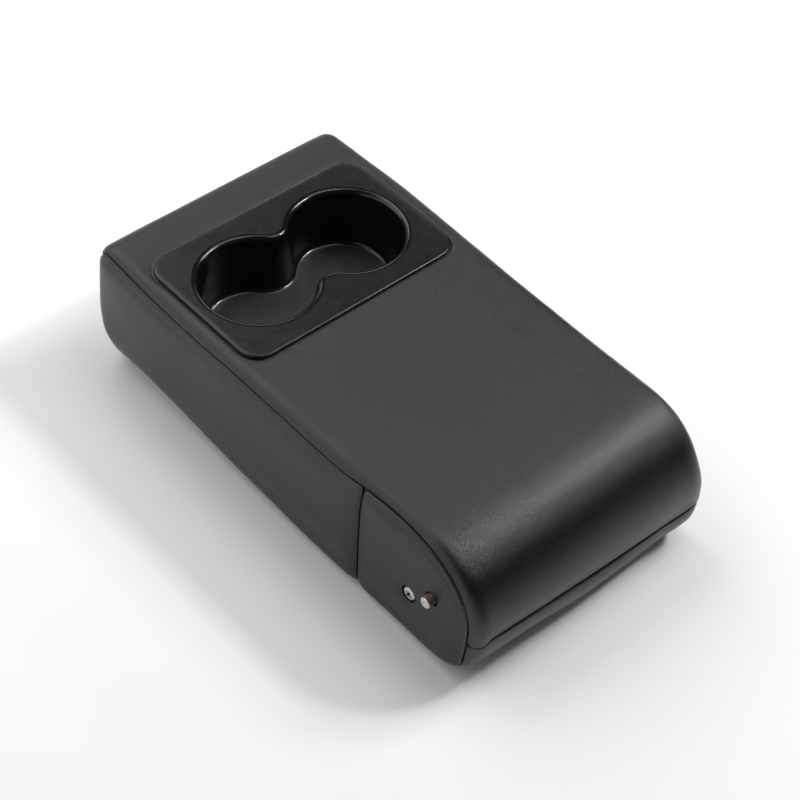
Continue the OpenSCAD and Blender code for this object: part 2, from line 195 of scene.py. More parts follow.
# rounding of the long edges, seen along the armrest
EDGE_R = eased([
    (s_under(166), 25.0), (s_near(189, 18), 22.0), (s_near(191, 40), 12.0), (s_near(191, 75), 9.5),
    (s_top(170), 8.0), (s_top(-80), 8.5), (s_top(-140), 9.0),
    (s_near(-191.5, 60), 10.0), (s_near(-191.5, 32), 10.0), (s_near(-184, 5), 10.0),
    (s_under(-140), 9.5), (s_under(-90), 9.0), (s_under(-45), 9.5),
    (s_under(0), 13.0), (s_under(60), 18.0), (s_under(110), 22.5), (s_under(150), 26.0)], 7.0)

# depth of the side seam below the surface on the front, top and rear
SEAM_D = eased([
    (s_near(191, 34), 2.0), (s_near(191, 50), -1.0), (s_near(191, 78), -1.0), (s_near(188, 97), 1.6), (s_top(176), 3.6), (s_top(170), 4.2),
    (s_top(147), 6.2), (s_top(120), 8.2), (s_top(96), 8.6), (s_top(77), 8.4), (s_top(50), 6.3),
    (s_top(9), 6.9), (s_top(-23), 7.4), (s_top(-57), 8.0), (s_top(-74), 6.4), (s_top(-82), 4.6),
    (s_top(-104), 3.4), (s_top(-126), 3.6), (s_top(-142), 5.6),
    (s_near(-157, 99), 7.4), (s_near(-176, 87), 8.2), (s_near(-188, 70), 9.0),
    (s_near(-191.5, 52), 9.6), (s_near(-191.5, 38), 8.8), (s_near(-191.5, 25), 7.4)], 5.0)


def half_width(y):
    """Half the width of the plain form."""
    return np.full(np.shape(y), 103.0)


def table(knots, blur, lo=-230.0, hi=230.0):
    """A smooth value by position from (position, value) knots."""
    g = np.arange(lo, hi + 1.0)
    k = sorted(knots)
    v = np.interp(g, [a for a, _ in k], [b for _, b in k])
    n = int(blur * 3)
    w = np.exp(-0.5 * (np.arange(-n, n + 1) / blur) ** 2)
    return g, np.convolve(np.r_[np.full(n, v[0]), v, np.full(n, v[-1])], w / w.sum(), "valid")


def look_up(tab, x):
    return np.interp(x, tab[0], tab[1])


# how the stuffed cover differs from the plain form: wider here and there on
# its two sides, and pulled in at the lower rear corner on the left
WIDE_LEFT = table([(192, 1.0), (150, 0.0), (96, 0.0), (47, 0.9), (-23, 0.4), (-80, -0.3), (-124, -1.0), (-160, 0.2), (-192, 0.3)], 9.0)
WIDE_RIGHT = table([(192, 1.0), (174, 1.6), (108, 3.8), (47, 2.4), (-13, 0.6), (-70, 0.3), (-125, 0.7), (-160, 1.5), (-192, 2.0)], 9.0)
REAR_OUT = table([(-100, 0.6), (-40, 1.6), (20, 2.0), (60, 2.2), (100, 2.8)], 12.0)
LOW_IN = table([(-100, 5.8), (-84, 5.8), (-45, 5.0), (0, 1.6), (50, 2.2), (97, 3.0)], 10.0)
LOW_RIGHT = table([(-150, 0.0), (-168, 0.8), (-185, 3.2), (-192, 3.6)], 5.0)


def warp(p):
    """Brings points of the plain form to the shape of the stuffed cover."""
    p = np.array(p, float)
    x, y, z = p[:, 0].copy(), p[:, 1].copy(), p[:, 2].copy()
    edge = smoothstep(np.abs(x), 92.5, 101.5)
    wide = np.where(x < 0, look_up(WIDE_LEFT, y), look_up(WIDE_RIGHT, y))
    p[:, 0] += np.sign(x) * edge * wide
    p[:, 0] += (x > 0) * edge * look_up(LOW_RIGHT, y) * np.exp(-((z - 42.0) / 20.0) ** 2)
    p[:, 1] -= smoothstep(-y, 150, 188) * np.exp(-((z - 44.0) / 22.0) ** 2) * look_up(REAR_OUT, x)
    p[:, 1] -= 2.6 * smoothstep(x, 66, 98) * smoothstep(-y, 150, 188) * np.exp(-((z - 24.0) / 15.0) ** 2)
    low = np.exp(-(((y + 191.5) / 27) ** 2 + (z / 25) ** 2)) * look_up(LOW_IN, x)
    p[:, 1] += low
    p[:, 2] += low
    return p


UNDER_X = 91.4   # the seam's place on the underside
WIDTH = half_width(PQ[:, 0])
reach_under = np.where(
    WIDTH - EDGE_R < UNDER_X,
    EDGE_R * np.arccos(np.clip((UNDER_X - WIDTH + EDGE_R) / EDGE_R, -1, 1)),
    EDGE_R * math.pi / 2 + (WIDTH - EDGE_R - UNDER_X))
under = eased([(s_near(191, 38), 0.0), (s_under(166), 1.0), (s_under(-140), 1.0), (s_near(-191.5, 22), 0.0)], 4.0)
# how far round the edge the seam lies, measured from where the flat side begins
LAM = (EDGE_R - SEAM_D) * (1 - under) + reach_under * under
W90 = WIDTH - EDGE_R + EDGE_R * math.pi / 2
W_SEAM = W90 - LAM


def band_point(s, w):
    """Place and outward direction on the body at arc length s round it and w across it (mm)."""
    c, n = at_profile(PQ, s), unit(at_profile(PN, s))
    re, hw = at_profile(EDGE_R, s), at_profile(WIDTH, s)
    a = np.abs(w)
    sgn = np.sign(w) + (w == 0)
    phi = np.clip((a - (hw - re)) / re, 0, math.pi / 2)
    past = np.maximum(a - (hw - re + re * math.pi / 2), 0)
    x = np.where(phi > 0, hw - re + re * np.sin(phi), a)
    drop = re * (1 - np.cos(phi)) + past
    p = np.c_[sgn * x, c - n * drop[:, None]]
    out = np.c_[sgn * np.sin(phi), n * np.cos(phi)[:, None]]
    return p, out


def side_point(p2, sgn):
    """Place and outward direction on the side, from its outline laid out flat in Y and Z."""
    s, depth = project(p2)
    c, n = at_profile(PQ, s), unit(at_profile(PN, s))
    re = at_profile(EDGE_R, s)
    lam = re - depth
    psi = np.clip(lam / re, 0, math.pi / 2)
    past = np.maximum(lam - re * math.pi / 2, 0)
    drop = re * (1 - np.sin(psi))
    yz = np.where((lam <= 0)[:, None], p2, c - n * drop[:, None])
    hw = half_width(yz[:, 0])
    x = np.where(lam <= 0, hw, hw - re * (1 - np.cos(psi)) - past)
    out = np.c_[sgn * np.cos(psi), n * np.sin(psi)[:, None]]
    return np.c_[sgn * x, yz], out


# ============================================================ flat outlines


def resample(p, step, closed=True):
    p = np.asarray(p, float)
    q = np.r_[p, p[:1]] if closed else p
    seg = np.linalg.norm(np.diff(q, axis=0), axis=1)
    keep = np.r_[True, seg > 1e-9]
    q, seg = q[keep], seg[seg > 1e-9]
    s = np.r_[0, np.cumsum(seg)]
    n = max(3, int(round(s[-1] / step)))
    g = np.linspace(0, s[-1], n + 1)[:(-1 if closed else None)]
    return np.c_[np.interp(g, s, q[:, 0]), np.interp(g, s, q[:, 1])]


def rounded(poly, r):
    """Rounds the corners of a closed line of points by smoothing it over a length r."""
    p = resample(poly, 0.3)
    n = max(1, int(r / 0.3))
    k = np.ones(2 * n + 1) / (2 * n + 1)
    for _ in range(2):
        p = np.c_[[np.convolve(np.r_[p[-n:, c], p[:, c], p[:n, c]], k, "valid") for c in (0, 1)]].T
    return p


def turn_sense(p):
    x, y = p[:, 0], p[:, 1]
    return 0.5 * np.sum(x * np.roll(y, -1) - np.roll(x, -1) * y)


def inward(p):
    """Unit directions pointing to the inside of a closed line."""
    t = unit(np.roll(p, -1, 0) - np.roll(p, 1, 0))
    n = np.c_[-t[:, 1], t[:, 0]]
    return n if turn_sense(p) > 0 else -n


def distance_to(p, loops):
    """Distance from points to the nearest of some closed lines."""
    best = np.full(len(p), 1e9)
    for loop in loops:
        a, b = loop, np.roll(loop, -1, 0)
        ab = b - a
        l2 = np.maximum((ab ** 2).sum(1), 1e-12)
        for k in range(0, len(p), 2000):
            q = p[k:k + 2000]
            t = np.clip(((q[:, None] - a) * ab).sum(2) / l2, 0, 1)
            d = np.sqrt((((q[:, None] - a) - t[..., None] * ab) ** 2).sum(2)).min(1)
            best[k:k + 2000] = np.minimum(best[k:k + 2000], d)
    return best


def inside(p, loop):
    a, b = loop, np.roll(loop, -1, 0)
    res = np.zeros(len(p), bool)
    for k in range(0, len(p), 4000):
        q = p[k:k + 4000]
        up = (a[None, :, 1] > q[:, None, 1]) != (b[None, :, 1] > q[:, None, 1])
        dy = b[:, 1] - a[:, 1]
        dy = np.where(np.abs(dy) < 1e-12, 1e-12, dy)
        x = a[None, :, 0] + (q[:, None, 1] - a[None, :, 1]) / dy * (b[:, 0] - a[:, 0])
        res[k:k + 4000] = (np.sum(up & (q[:, None, 0] < x), axis=1) % 2) == 1
    return res


RINGS = [0.45, 1.0, 1.7, 2.6, 3.7, 5.0, 6.6, 8.6]


def fill(outline, holes, step, edge_step):
    """Flat triangles inside an outline, small near its edges and holes. Returns points, faces, loops of point numbers."""
    loops = [resample(outline, edge_step)] + [resample(h, min(edge_step, 0.9)) for h in holes]
    loops = [l if (turn_sense(l) > 0) == (i == 0) else l[::-1] for i, l in enumerate(loops)]
    pts = list(loops)
    for d in RINGS:
        for i, l in enumerate(loops):
            n = inward(l) * (1 if i == 0 else -1)
            r = l + n * d
            r = r[:: 2] if d > 4 else r
            ok = distance_to(r, loops) > d * 0.96
            pts.append(r[ok])
    lo, hi = loops[0].min(0), loops[0].max(0)
    h = step * math.sqrt(3) / 2
    gx = np.arange(lo[0], hi[0] + step, step)
    rows = [np.c_[gx + (step / 2 if k % 2 else 0), np.full(len(gx), y)] for k, y in enumerate(np.arange(lo[1], hi[1] + h, h))]
    grid = np.concatenate(rows)
    grid = grid[inside(grid, loops[0])]
    for l in loops[1:]:
        grid = grid[~inside(grid, l)]
    grid = grid[distance_to(grid, loops) > RINGS[-1] + step * 0.6]
    pts.append(grid)
    every = np.concatenate(pts)
    edges, start, ids = [], 0, []
    for l in loops:
        k = np.arange(start, start + len(l))
        ids.append(k)
        edges += list(zip(k.tolist(), np.roll(k, -1).tolist()))
        start += len(l)
    rest = every[start:]
    ok = inside(rest, loops[0])
    for l in loops[1:]:
        ok &= ~inside(rest, l)
    every = np.r_[every[:start], rest[ok]]
    out = geometry.delaunay_2d_cdt([Vector((float(a), float(b))) for a, b in every], edges, [], 0, 1e-7)
    verts = np.array([[v.x, v.y] for v in out[0]])
    origin = {}
    for new, olds in enumerate(out[3]):
        for o in olds:
            origin[o] = new
    faces = np.array([f for f in out[2] if len(f) == 3])
    mid = verts[faces].mean(1)
    ok = inside(mid, loops[0])
    for l in loops[1:]:
        ok &= ~inside(mid, l)
    faces = faces[ok]
    a, b, c = (verts[faces[:, k]] for k in range(3))
    area = (b[:, 0] - a[:, 0]) * (c[:, 1] - a[:, 1]) - (c[:, 0] - a[:, 0]) * (b[:, 1] - a[:, 1])
    faces[area < 0] = faces[area < 0][:, ::-1]
    ids = [np.array([origin[int(k)] for k in loop]) for loop in ids]
    used = np.unique(np.r_[faces.ravel(), np.concatenate(ids)])
    renum = np.full(len(verts), -1)
    renum[used] = np.arange(len(used))
    return verts[used], renum[faces], [renum[k] for k in ids]


def vertex_normals(p, faces):
    n = np.cross(p[faces[:, 1]] - p[faces[:, 0]], p[faces[:, 2]] - p[faces[:, 0]])
    out = np.zeros_like(p)
    for k in range(3):
        np.add.at(out, faces[:, k], n)
    return unit(out)


def new_object(name, verts, faces, mats=(), mat_index=None, smooth=True, sharp=None):
    me = bpy.data.meshes.new(name)
    me.from_pydata([tuple(v) for v in np.asarray(verts) * MM], [], [tuple(int(i) for i in f) for f in faces])
    me.validate()
    me.polygons.foreach_set("use_smooth", [smooth] * len(me.polygons))
    ob = bpy.data.objects.new(name, me)
    bpy.context.scene.collection.objects.link(ob)
    for m in mats:
        me.materials.append(m)
    if mat_index is not None:
        me.polygons.foreach_set("material_index", list(mat_index))
    if sharp:
        me.set_sharp_from_angle(angle=math.radians(sharp))
    me.update()
    return ob


def leather_panel(name, outline, holes, place, step=3.0, edge_step=1.3, lip=(1.1,), wall=(2.6,), thick=1.1, scallop=None):
    """A closed leather shell. place(p2) gives where its points lie. Its edges roll over and run down into the seams.
    lip and wall are the roll's radius and the turned-in depth, for the outline and then for the holes."""
    p2, faces, loops = fill(outline, holes, step, edge_step)
    p = place(p2)
    nrm = vertex_normals(p, faces)
    if np.sum(nrm * (p - [0.0, 0.0, 50.0])) < 0:
        # a mirrored panel: turn it the right way out
        faces, nrm, loops = faces[:, ::-1], -nrm, [loop[::-1] for loop in loops]
    verts, fs = [p], [faces]
    count = len(p)
    inner = p - nrm * thick
    inner_start = count
    verts.append(inner)
    fs.append(faces[:, ::-1] + inner_start)
    count += len(inner)
    quads = []
    for k, loop in enumerate(loops):
        r, h = lip[min(k, len(lip) - 1)], wall[min(k, len(wall) - 1)]
        q = p[loop]
        t = unit(np.roll(q, -1, 0) - np.roll(q, 1, 0))
        n = nrm[loop]
        out = unit(np.cross(t, n))
        rr = np.full(len(loop), r)
        if scallop is not None and k == 0:
            rr = rr + scallop(q)
        rings = []
        for a in np.radians([16, 34, 52, 70, 88]):
            rings.append(q + out * (rr * math.sin(a))[:, None] - n * (r * (1 - math.cos(a))))
        rings.append(q + out * (rr)[:, None] - n * (r + h * 0.5))
        rings.append(q + out * (rr)[:, None] - n * (r + h))
        rings.append(q + out * (rr - thick * 0.9)[:, None] - n * (r + h))
        rings.append(q + out * (rr - thick * 0.9)[:, None] - n * (r + h * 0.4))
        ids = [loop]
        for ring in rings:
            ids.append(np.arange(count, count + len(ring)))
            verts.append(ring)
            count += len(ring)
        ids.append(loop + inner_start)
        for a, b in zip(ids[:-1], ids[1:]):
            a2, b2 = np.roll(a, -1), np.roll(b, -1)
            quads.append(np.c_[a, b, b2, a2])
    # nothing hangs below the underside
    base = np.zeros(count)
    base[inner_start:inner_start + len(p)] = thick * 0.9
    verts = np.concatenate(verts)
    verts[:, 2] = np.maximum(verts[:, 2], base)
    every = [tuple(f) for block in fs for f in block.tolist()] + [tuple(f) for block in quads for f in block.tolist()]
    ob = new_object(name, verts, every)
    bm = bmesh.new()
    bm.from_mesh(ob.data)
    bmesh.ops.recalc_face_normals(bm, faces=bm.faces)
    bm.to_mesh(ob.data)
    bm.free()
    ob.data.set_sharp_from_angle(angle=math.radians(60))
    return ob


# ============================================================ leather panels

SEAM_GAP = 0.33          # half the open gap between two panels
LIP = 0.95               # radius of a rolled edge
BEZEL_Y = 95.0
BEZEL = (183.6, 116.5, 16.0)
GAP_LIP = 1.6


def plan_rect(w, l, r, n=28):
    """A rounded rectangle in plan, about the bezel's centre."""
    pts = []
    for cx, cy, a0 in ((1, 1, 0), (-1, 1, 90), (-1, -1, 180), (1, -1, 270)):
        a = np.radians(np.linspace(a0, a0 + 90, n))
        pts.append(np.c_[cx * (w / 2 - r) + r * np.cos(a), BEZEL_Y + cy * (l / 2 - r) + r * np.sin(a)])
    return np.concatenate(pts)


def rect_distance(x, y, w, l, r):
    """Distance outside a rounded rectangle about the bezel's centre."""
    dx, dy = np.abs(x) - (w / 2 - r), np.abs(y - BEZEL_Y) - (l / 2 - r)
    return np.hypot(np.maximum(dx, 0), np.maximum(dy, 0)) + np.minimum(np.maximum(dx, dy), 0) - r


def waves(p, amount):
    """The slow unevenness of leather over foam."""
    return amount * (0.6 * soft_noise(p, 46.0, 3) + 0.3 * soft_noise(p, 21.0, 5) + 0.14 * soft_noise(p, 9.0, 8))


def seam_pucker(along, d, amount):
    """Small gathers beside a seam, fading away from it."""
    a = np.c_[along, np.zeros(len(along)), np.zeros(len(along))]
    k = soft_noise(a, 5.2, 11) + 0.6 * soft_noise(a, 2.9, 12)
    grow = 0.55 + 0.45 * soft_noise(a, 37.0, 13)
    return amount * k * grow * np.exp(-d / 3.2)


def seam_fall(s):
    """How far the seam lies under the plain form, the same for the pieces on both sides of it."""
    rear = smoothstep(s, s_top(-120), s_top(-160)) * (1 - smoothstep(s, S_REAR_SEAM + 10, S_REAR_SEAM + 40))
    front = 1 - smoothstep(s, S_TOP_F - 12, S_TOP_F + 2)
    return 0.35 + 0.5 * rear + 0.3 * front


def band_shift(s, w, p):
    """How far the top and bottom leather stand off the plain form."""
    ws = at_profile(W_SEAM, s)
    d = np.maximum(ws - np.abs(w), 0)
    h = -seam_fall(s) * (np.abs(w) / np.maximum(ws, 1)) ** 5
    h = h - 0.45 * np.exp(-d / 2.0) - 0.12 * np.exp(-((d - 5.0) / 2.6) ** 2)
    end = smoothstep(s, s_top(-90), s_top(-135))
    h = h + end * (0.26 * np.exp(-((d - 1.2) / 0.8) ** 2) - 0.10 * np.exp(-((d - 3.6) / 1.3) ** 2) + 0.12 * np.exp(-((d - 5.0) / 2.6) ** 2))
    corner = np.exp(-((s - S_TOP_F + 10.0) / 13.0) ** 2)
    h = h + corner * (0.4 * np.exp(-d / 2.0) + 0.1 * np.exp(-((d - 5.0) / 2.6) ** 2))
    h = h + seam_pucker(s + np.where(w > 0, 900.0, 0.0), d, 0.14)
    h = h + waves(p, 0.2)
    return h, d


def top_place(p2):
    s, w = p2[:, 0], p2[:, 1]
    p, out = band_point(s, w)
    h, d = band_shift(s, w, p)
    x, y = p[:, 0], p[:, 1]
    top = smoothstep(s, S_TOP_F - 4, S_TOP_F + 6) * (1 - smoothstep(s, s_top(-100), s_top(-130)))
    # the leather sinks to the bezel, most of all on its far side
    db = rect_distance(x, y, BEZEL[0] + 1.0, BEZEL[1] + 1.0, BEZEL[2] + 0.5)
    far = smoothstep(y, 120, 153)
    side = 1 - smoothstep(np.abs(y - BEZEL_Y), 48, 60)
    sink = 0.45 + 1.35 * far - 0.1 * side
    width = 2.6 + 3.4 * far
    h = h - top * sink * np.exp(-(np.maximum(db, 0) / width) ** 1.5)
    # a pressed ring left round the cup holder
    rr = np.hypot(x - 15.0, y - 90.0)
    near = 1 - smoothstep(y, 28, 60)
    ring = np.exp(-((rr - 96.5) / 3.6) ** 2)
    h = h - top * near * 0.30 * ring + top * near * 0.10 * (1 - smoothstep(rr, 84, 97))
    # rear seam: the leather turns down into it
    dr = np.maximum(rear_seam_line(w) - s, 0)
    h = h + 0.30 * np.exp(-dr / 1.4) - 0.12 * np.exp(-((dr - 5.0) / 2.5) ** 2)
    h = h + seam_pucker(w + 300.0, dr, 0.10) * (dr < 30)
    return warp(p + out * h[:, None])


def bottom_place(p2):
    s, w = p2[:, 0], p2[:, 1]
    p, out = band_point(s, w)
    h, d = band_shift(s, w, p)
    dr = np.maximum(s - rear_seam_line(w), 0)
    mid = np.clip(1 - (np.abs(w) / 103.0) ** 2, 0, 1)
    # the strip under the rear seam swells between the two seams
    de = np.maximum(dr - rear_gap(w), 0)
    h = h + (0.3 + 1.5 * mid) * np.sin(np.clip(dr / 32.0, 0, 1) * math.pi) - (0.5 + 1.0 * mid) * np.exp(-(de / 5.0) ** 1.2)
    h = h + seam_pucker(w + 600.0, dr, 0.16) * (dr < 30)
    # the underside stays on the floor plane
    flat = smoothstep(s, s_near(-183, 4), s_near(-170, 0) + 6)
    h = np.where(h > 0, h * (1 - flat), h)
    return warp(p + out * h[:, None])


def seam_edge(s, inset):
    """Where a band piece's edge starts to roll, beside the side seam."""
    return at_profile(W_SEAM, s) - inset - 0.3 * smoothstep(s, s_top(-88), s_top(-130)) * (1 - smoothstep(s, S_REAR_SEAM - 4, S_REAR_SEAM + 10))


def band_outline(s0, s1, inset):
    """A piece of the band from s0 to s1, both ends cut straight across."""
    s = np.arange(s0, s1, 1.0)
    s = np.r_[s, s1]
    w = seam_edge(s, inset)
    return np.r_[np.c_[s, w], np.c_[s[::-1], -w[::-1]]]


INSET = LIP + SEAM_GAP
S_FRONT_END = 0.6 + LIP


REAR_SEAM_Z = table([(-98, 46.4), (-73, 45.6), (-45, 43.6), (-19, 41.9), (0, 40.2), (16, 38.9), (33, 38.1), (50, 37.0), (67, 36.0), (84, 36.3), (97, 37.0)], 8.0)


def rear_seam_line(w):
    """Arc length of the rear seam at w across: it slants, and drops a little where it meets the left side seam."""
    return S_REAR_SEAM + 40.0 - look_up(REAR_SEAM_Z, np.clip(w, -99, 99)) + 5.5 * smoothstep(-w, 89.0, 98.5)


def rear_gap(w):
    """How far the strip under the rounded end is set back from the upper leather's edge, most in the middle."""
    return 0.9 * smoothstep(100.0 - np.abs(w), 0, 6) + 4.2 * np.sqrt(np.clip(1 - (w / 98.0) ** 2, 0, 1))


def rear_end(w_sign, inset, extra):
    """Arc length at which a band piece's side edge gives way to its rear end."""
    return float(rear_seam_line(np.array([w_sign * 97.0]))[0]) + inset + extra


def make_top():
    sides = []
    for sgn in (1, -1):
        s = np.arange(S_FRONT_END, rear_end(sgn, -INSET, -1.0), 1.0)
        sides.append(np.c_[s, sgn * seam_edge(s, INSET)])
    a, b = sides[0][-1, 1], sides[1][-1, 1]
    ww = np.linspace(a, b, 180)
    end = np.c_[rear_seam_line(ww) - INSET, ww]
    outline = rounded(np.r_[sides[0], end[1:-1], sides[1][::-1]], 1.4)
    hole = plan_rect(BEZEL[0] + 1.0 + 2 * GAP_LIP, BEZEL[1] + 1.0 + 2 * GAP_LIP, BEZEL[2] + 0.5 + GAP_LIP)
    hole = np.c_[s_top(hole[:, 1]), hole[:, 0]]
    return leather_panel("top_leather", outline, [hole], top_place, step=3.2, edge_step=1.25,
                         lip=(LIP, GAP_LIP), wall=(2.6, 2.2))


def make_bottom():
    sides = []
    for sgn in (1, -1):
        s = np.arange(rear_end(sgn, INSET, 1.0), TOTAL - 0.6 - LIP, 1.0)
        sides.append(np.c_[s, sgn * seam_edge(s, INSET)])
    a, b = sides[0][0, 1], sides[1][0, 1]
    ww = np.linspace(b, a, 180)
    end = np.c_[rear_seam_line(ww) + INSET + rear_gap(ww), ww]
    outline = rounded(np.r_[end[1:-1], sides[0], sides[1][::-1]], 1.4)
    return leather_panel("bottom_leather", outline, [], bottom_place, step=4.5, edge_step=1.5, lip=(LIP,), wall=(2.2,))


SEAM_Y = np.array([[97.5, -82.3], [92, -81.6], [74, -80.6], [46, -81.6], [9, -83.8], [-12, -84.4]])


def seam_line_y(z):
    """The upright seam's place along the armrest at height z."""
    o = np.argsort(SEAM_Y[:, 0])
    return np.interp(z, SEAM_Y[o, 0], SEAM_Y[o, 1])


def side_loop():
    """The whole side inside its seam, laid out flat in Y and Z."""
    n = len(PS)
    depth = EDGE_R - LAM
    return PQ - PN * depth[:, None], np.arange(n)


SIDE_LOOP = side_loop()[0]


def offset_loop(loop, d):
    """Moves a closed line inwards by d, without its fold-backs."""
    p = resample(loop, 0.6)
    q = p + inward(p) * d
    ok = distance_to(q, [p]) > d * 0.985
    return q[ok]


def cut_side(front):
    """Outline of the panel before (or behind) the upright seam, at the start of its rolled edge."""
    loop = offset_loop(SIDE_LOOP, INSET)
    z = np.linspace(-25, 120, 400)
    y = seam_line_y(z)
    y = y + INSET if front else y - INSET
    keep = (loop[:, 0] > np.interp(loop[:, 1], z, y)) if front else (loop[:, 0] < np.interp(loop[:, 1], z, y))
    # take the kept run in order, starting after the cut
    k = np.flatnonzero(~keep)
    start = k[np.flatnonzero(np.diff(np.r_[k, k[0] + len(loop)]) > 1)[0]] + 1
    run = np.array([loop[(start + i) % len(loop)] for i in range(len(loop))])
    flag = np.array([keep[(start + i) % len(loop)] for i in range(len(loop))])
    run = run[flag]
    a, b = run[-1], run[0]
    zz = np.linspace(a[1], b[1], 120)
    cut = np.c_[np.interp(zz, z, y), zz]
    outline = np.r_[run, cut[1:-1]]
    return rounded(outline, 0.9)


SCREW = (-131.3, 41.0)
PIN = (-151.0, 57.0)
SCREW_HOLE, PIN_HOLE = 5.9, 4.9


def circle(c, r, n=48):
    a = np.linspace(0, 2 * math.pi, n, endpoint=False)
    return np.c_[c[0] + r * np.cos(a), c[1] + r * np.sin(a)]


def side_place(sgn, front, loops):
    def place(p2):
        p, out = side_point(p2, sgn)
        d = distance_to(p2, loops)
        s, depth = project(p2)
        ds = np.maximum(depth - at_profile(EDGE_R - LAM, s), 0)
        low = smoothstep(-p[:, 2], -34, -10)
        y, z = p[:, 1], p[:, 2]
        h = -seam_fall(s) * np.exp(-ds / 14.0)
        if front:
            h = h + 1.3 * (1 - np.exp(-d / 7.0)) + 0.9 * (1 - np.exp(-d / 26.0)) 
            cut = np.exp(-np.maximum(y + 78.0, 0) / 4.0) * smoothstep(ds, 2.0, 7.0)
            h = h - (0.42 - 0.22 * cut) * np.exp(-d / 2.0)
            h = h - (0.4 - 0.4 * cut) * np.exp(-((d - 4.6) / 2.2) ** 2) + (0.2 - 0.2 * cut) * np.exp(-((d - 1.3) / 0.7) ** 2)
            h = h - 0.3 * cut * np.exp(-d / 6.0)
            # fuller near the front top corner
            h = h + 1.0 * np.exp(-(((y - 150) / 38) ** 2 + ((z - 66) / 26) ** 2))
            # the edge lies flat where the seam turns the front top corner
            h = h - 0.9 * np.exp(-((s - S_TOP_F + 9.0) / 11.0) ** 2) * np.exp(-d / 5.0)
            h = h + 1.3 * np.exp(-(((y - 188) / 22) ** 2 + ((z - 38) / 20) ** 2)) * (1 - np.exp(-d / 4.0))
        else:
            h = h + 0.9 * (1 - np.exp(-d / 5.0)) + 0.7 * (1 - np.exp(-d / 20.0)) - 0.45 * np.exp(-d / 1.8)
            h = h - 0.55 * np.exp(-((d - 3.9) / 1.6) ** 2) + 0.42 * np.exp(-((d - 1.2) / 0.75) ** 2)
            # along the upright seam this piece lies over the other's edge
            h = h + 0.3 * np.exp(-np.maximum(-86.0 - y, 0) / 3.0) * np.exp(-d / 2.2) * smoothstep(ds, 1.5, 6.5)
            for c, r in ((SCREW, SCREW_HOLE), (PIN, PIN_HOLE)):
                e = np.maximum(np.hypot(p2[:, 0] - c[0], p2[:, 1] - c[1]) - r, 0)
                h = h - (1.1 if c is SCREW else 0.8) * np.exp(-(e / 3.0) ** 1.4)
        h = np.where(h > 0, h * (1 - 0.92 * low), h)
        h = h + (1.1 if sgn < 0 else 0.0) * (1 - np.exp(-d / 3.0))
        # and draws in at the foot of the upright seam
        h = h - 0.8 * np.exp(-((y + 83.5) / 5.0) ** 2) * (1 - smoothstep(z, 4.0, 14.0))
        h = h + seam_pucker(s + (500.0 if front else 1500.0) + (2000.0 if sgn > 0 else 0), d, 0.15)
        h = h + waves(p + [0, 0, 400.0], 0.24)
        return warp(p + out * h[:, None])
    return place


def make_side(sgn, front):
    name = ("right" if sgn > 0 else "left") + ("_front" if front else "_rear") + "_side_leather"
    outline = cut_side(front)
    holes = [] if front else [circle(SCREW, SCREW_HOLE + 0.7), circle(PIN, PIN_HOLE + 0.7)]
    ob = leather_panel(name, outline, holes, side_place(sgn, front, [outline]), step=2.8, edge_step=1.25,
                       lip=(LIP, 0.7), wall=(2.6, 1.2))
    return ob


# ============================================================ what is sewn into the seams


def tube(path, radius, closed, sides=8, name="tube"):
    """A round cord along a path of points, as a closed mesh."""
    path = np.asarray(path, float)
    n = len(path)
    t = unit(np.roll(path, -1, 0) - np.roll(path, 1, 0)) if closed else unit(np.gradient(path, axis=0))
    up = np.array([0.0, 0.0, 1.0])
    frame_u = np.zeros_like(path)
    u = np.cross(t[0], up)
    if np.linalg.norm(u) < 0.1:
        u = np.cross(t[0], [1.0, 0, 0])
    for i in range(n):
        u = u - t[i] * (u @ t[i])
        u = u / np.linalg.norm(u)
        frame_u[i] = u
    v = np.cross(t, frame_u)
    radius = np.broadcast_to(radius, (n,))
    a = np.linspace(0, 2 * math.pi, sides, endpoint=False)
    verts = (path[:, None] + radius[:, None, None] * (np.cos(a)[None, :, None] * frame_u[:, None] + np.sin(a)[None, :, None] * v[:, None])).reshape(-1, 3)
    faces = []
    for i in range(n if closed else n - 1):
        j = (i + 1) % n
        for k in range(sides):
            m = (k + 1) % sides
            faces.append((i * sides + k, i * sides + m, j * sides + m, j * sides + k))
    if not closed:
        faces.append(tuple(range(sides))[::-1])
        faces.append(tuple((n - 1) * sides + k for k in range(sides)))
    return verts, faces


def seam_path(sgn, depth):
    """Points along a side seam, a depth under where its two edges meet."""
    k = np.arange(0, len(PS), 8)
    s = PS[k]
    p, out = band_point(s, sgn * W_SEAM[k])
    y, z = p[:, 1], p[:, 2]
    depth = depth + 1.6 * smoothstep(y, 150, 175) * (1 - smoothstep(z, 30, 44))
    depth = depth + 1.3 * smoothstep(-y, 145, 165) * (1 - smoothstep(z, 18, 34))
    depth = depth + 0.8 * np.exp(-((y + 83.5) / 6.0) ** 2) * (1 - smoothstep(z, 4, 14))
    return warp(p - out * (seam_fall(s) + depth)[:, None]), s


def merged(name, parts):
    verts, faces, count = [], [], 0
    for v, f in parts:
        verts.append(v)
        faces += [tuple(i + count for i in q) for q in f]
        count += len(v)
    return new_object(name, np.concatenate(verts), faces)


def stitch(a, b, out, radius):
    """One stitch of thread: a short bowed cord from a to b."""
    k = np.linspace(0, 1, 5)
    path = a + (b - a) * k[:, None] + out * (radius * 1.1 * np.sin(k * math.pi))[:, None]
    return tube(path, radius * np.array([0.55, 0.95, 1.0, 0.95, 0.55]), False, 6)


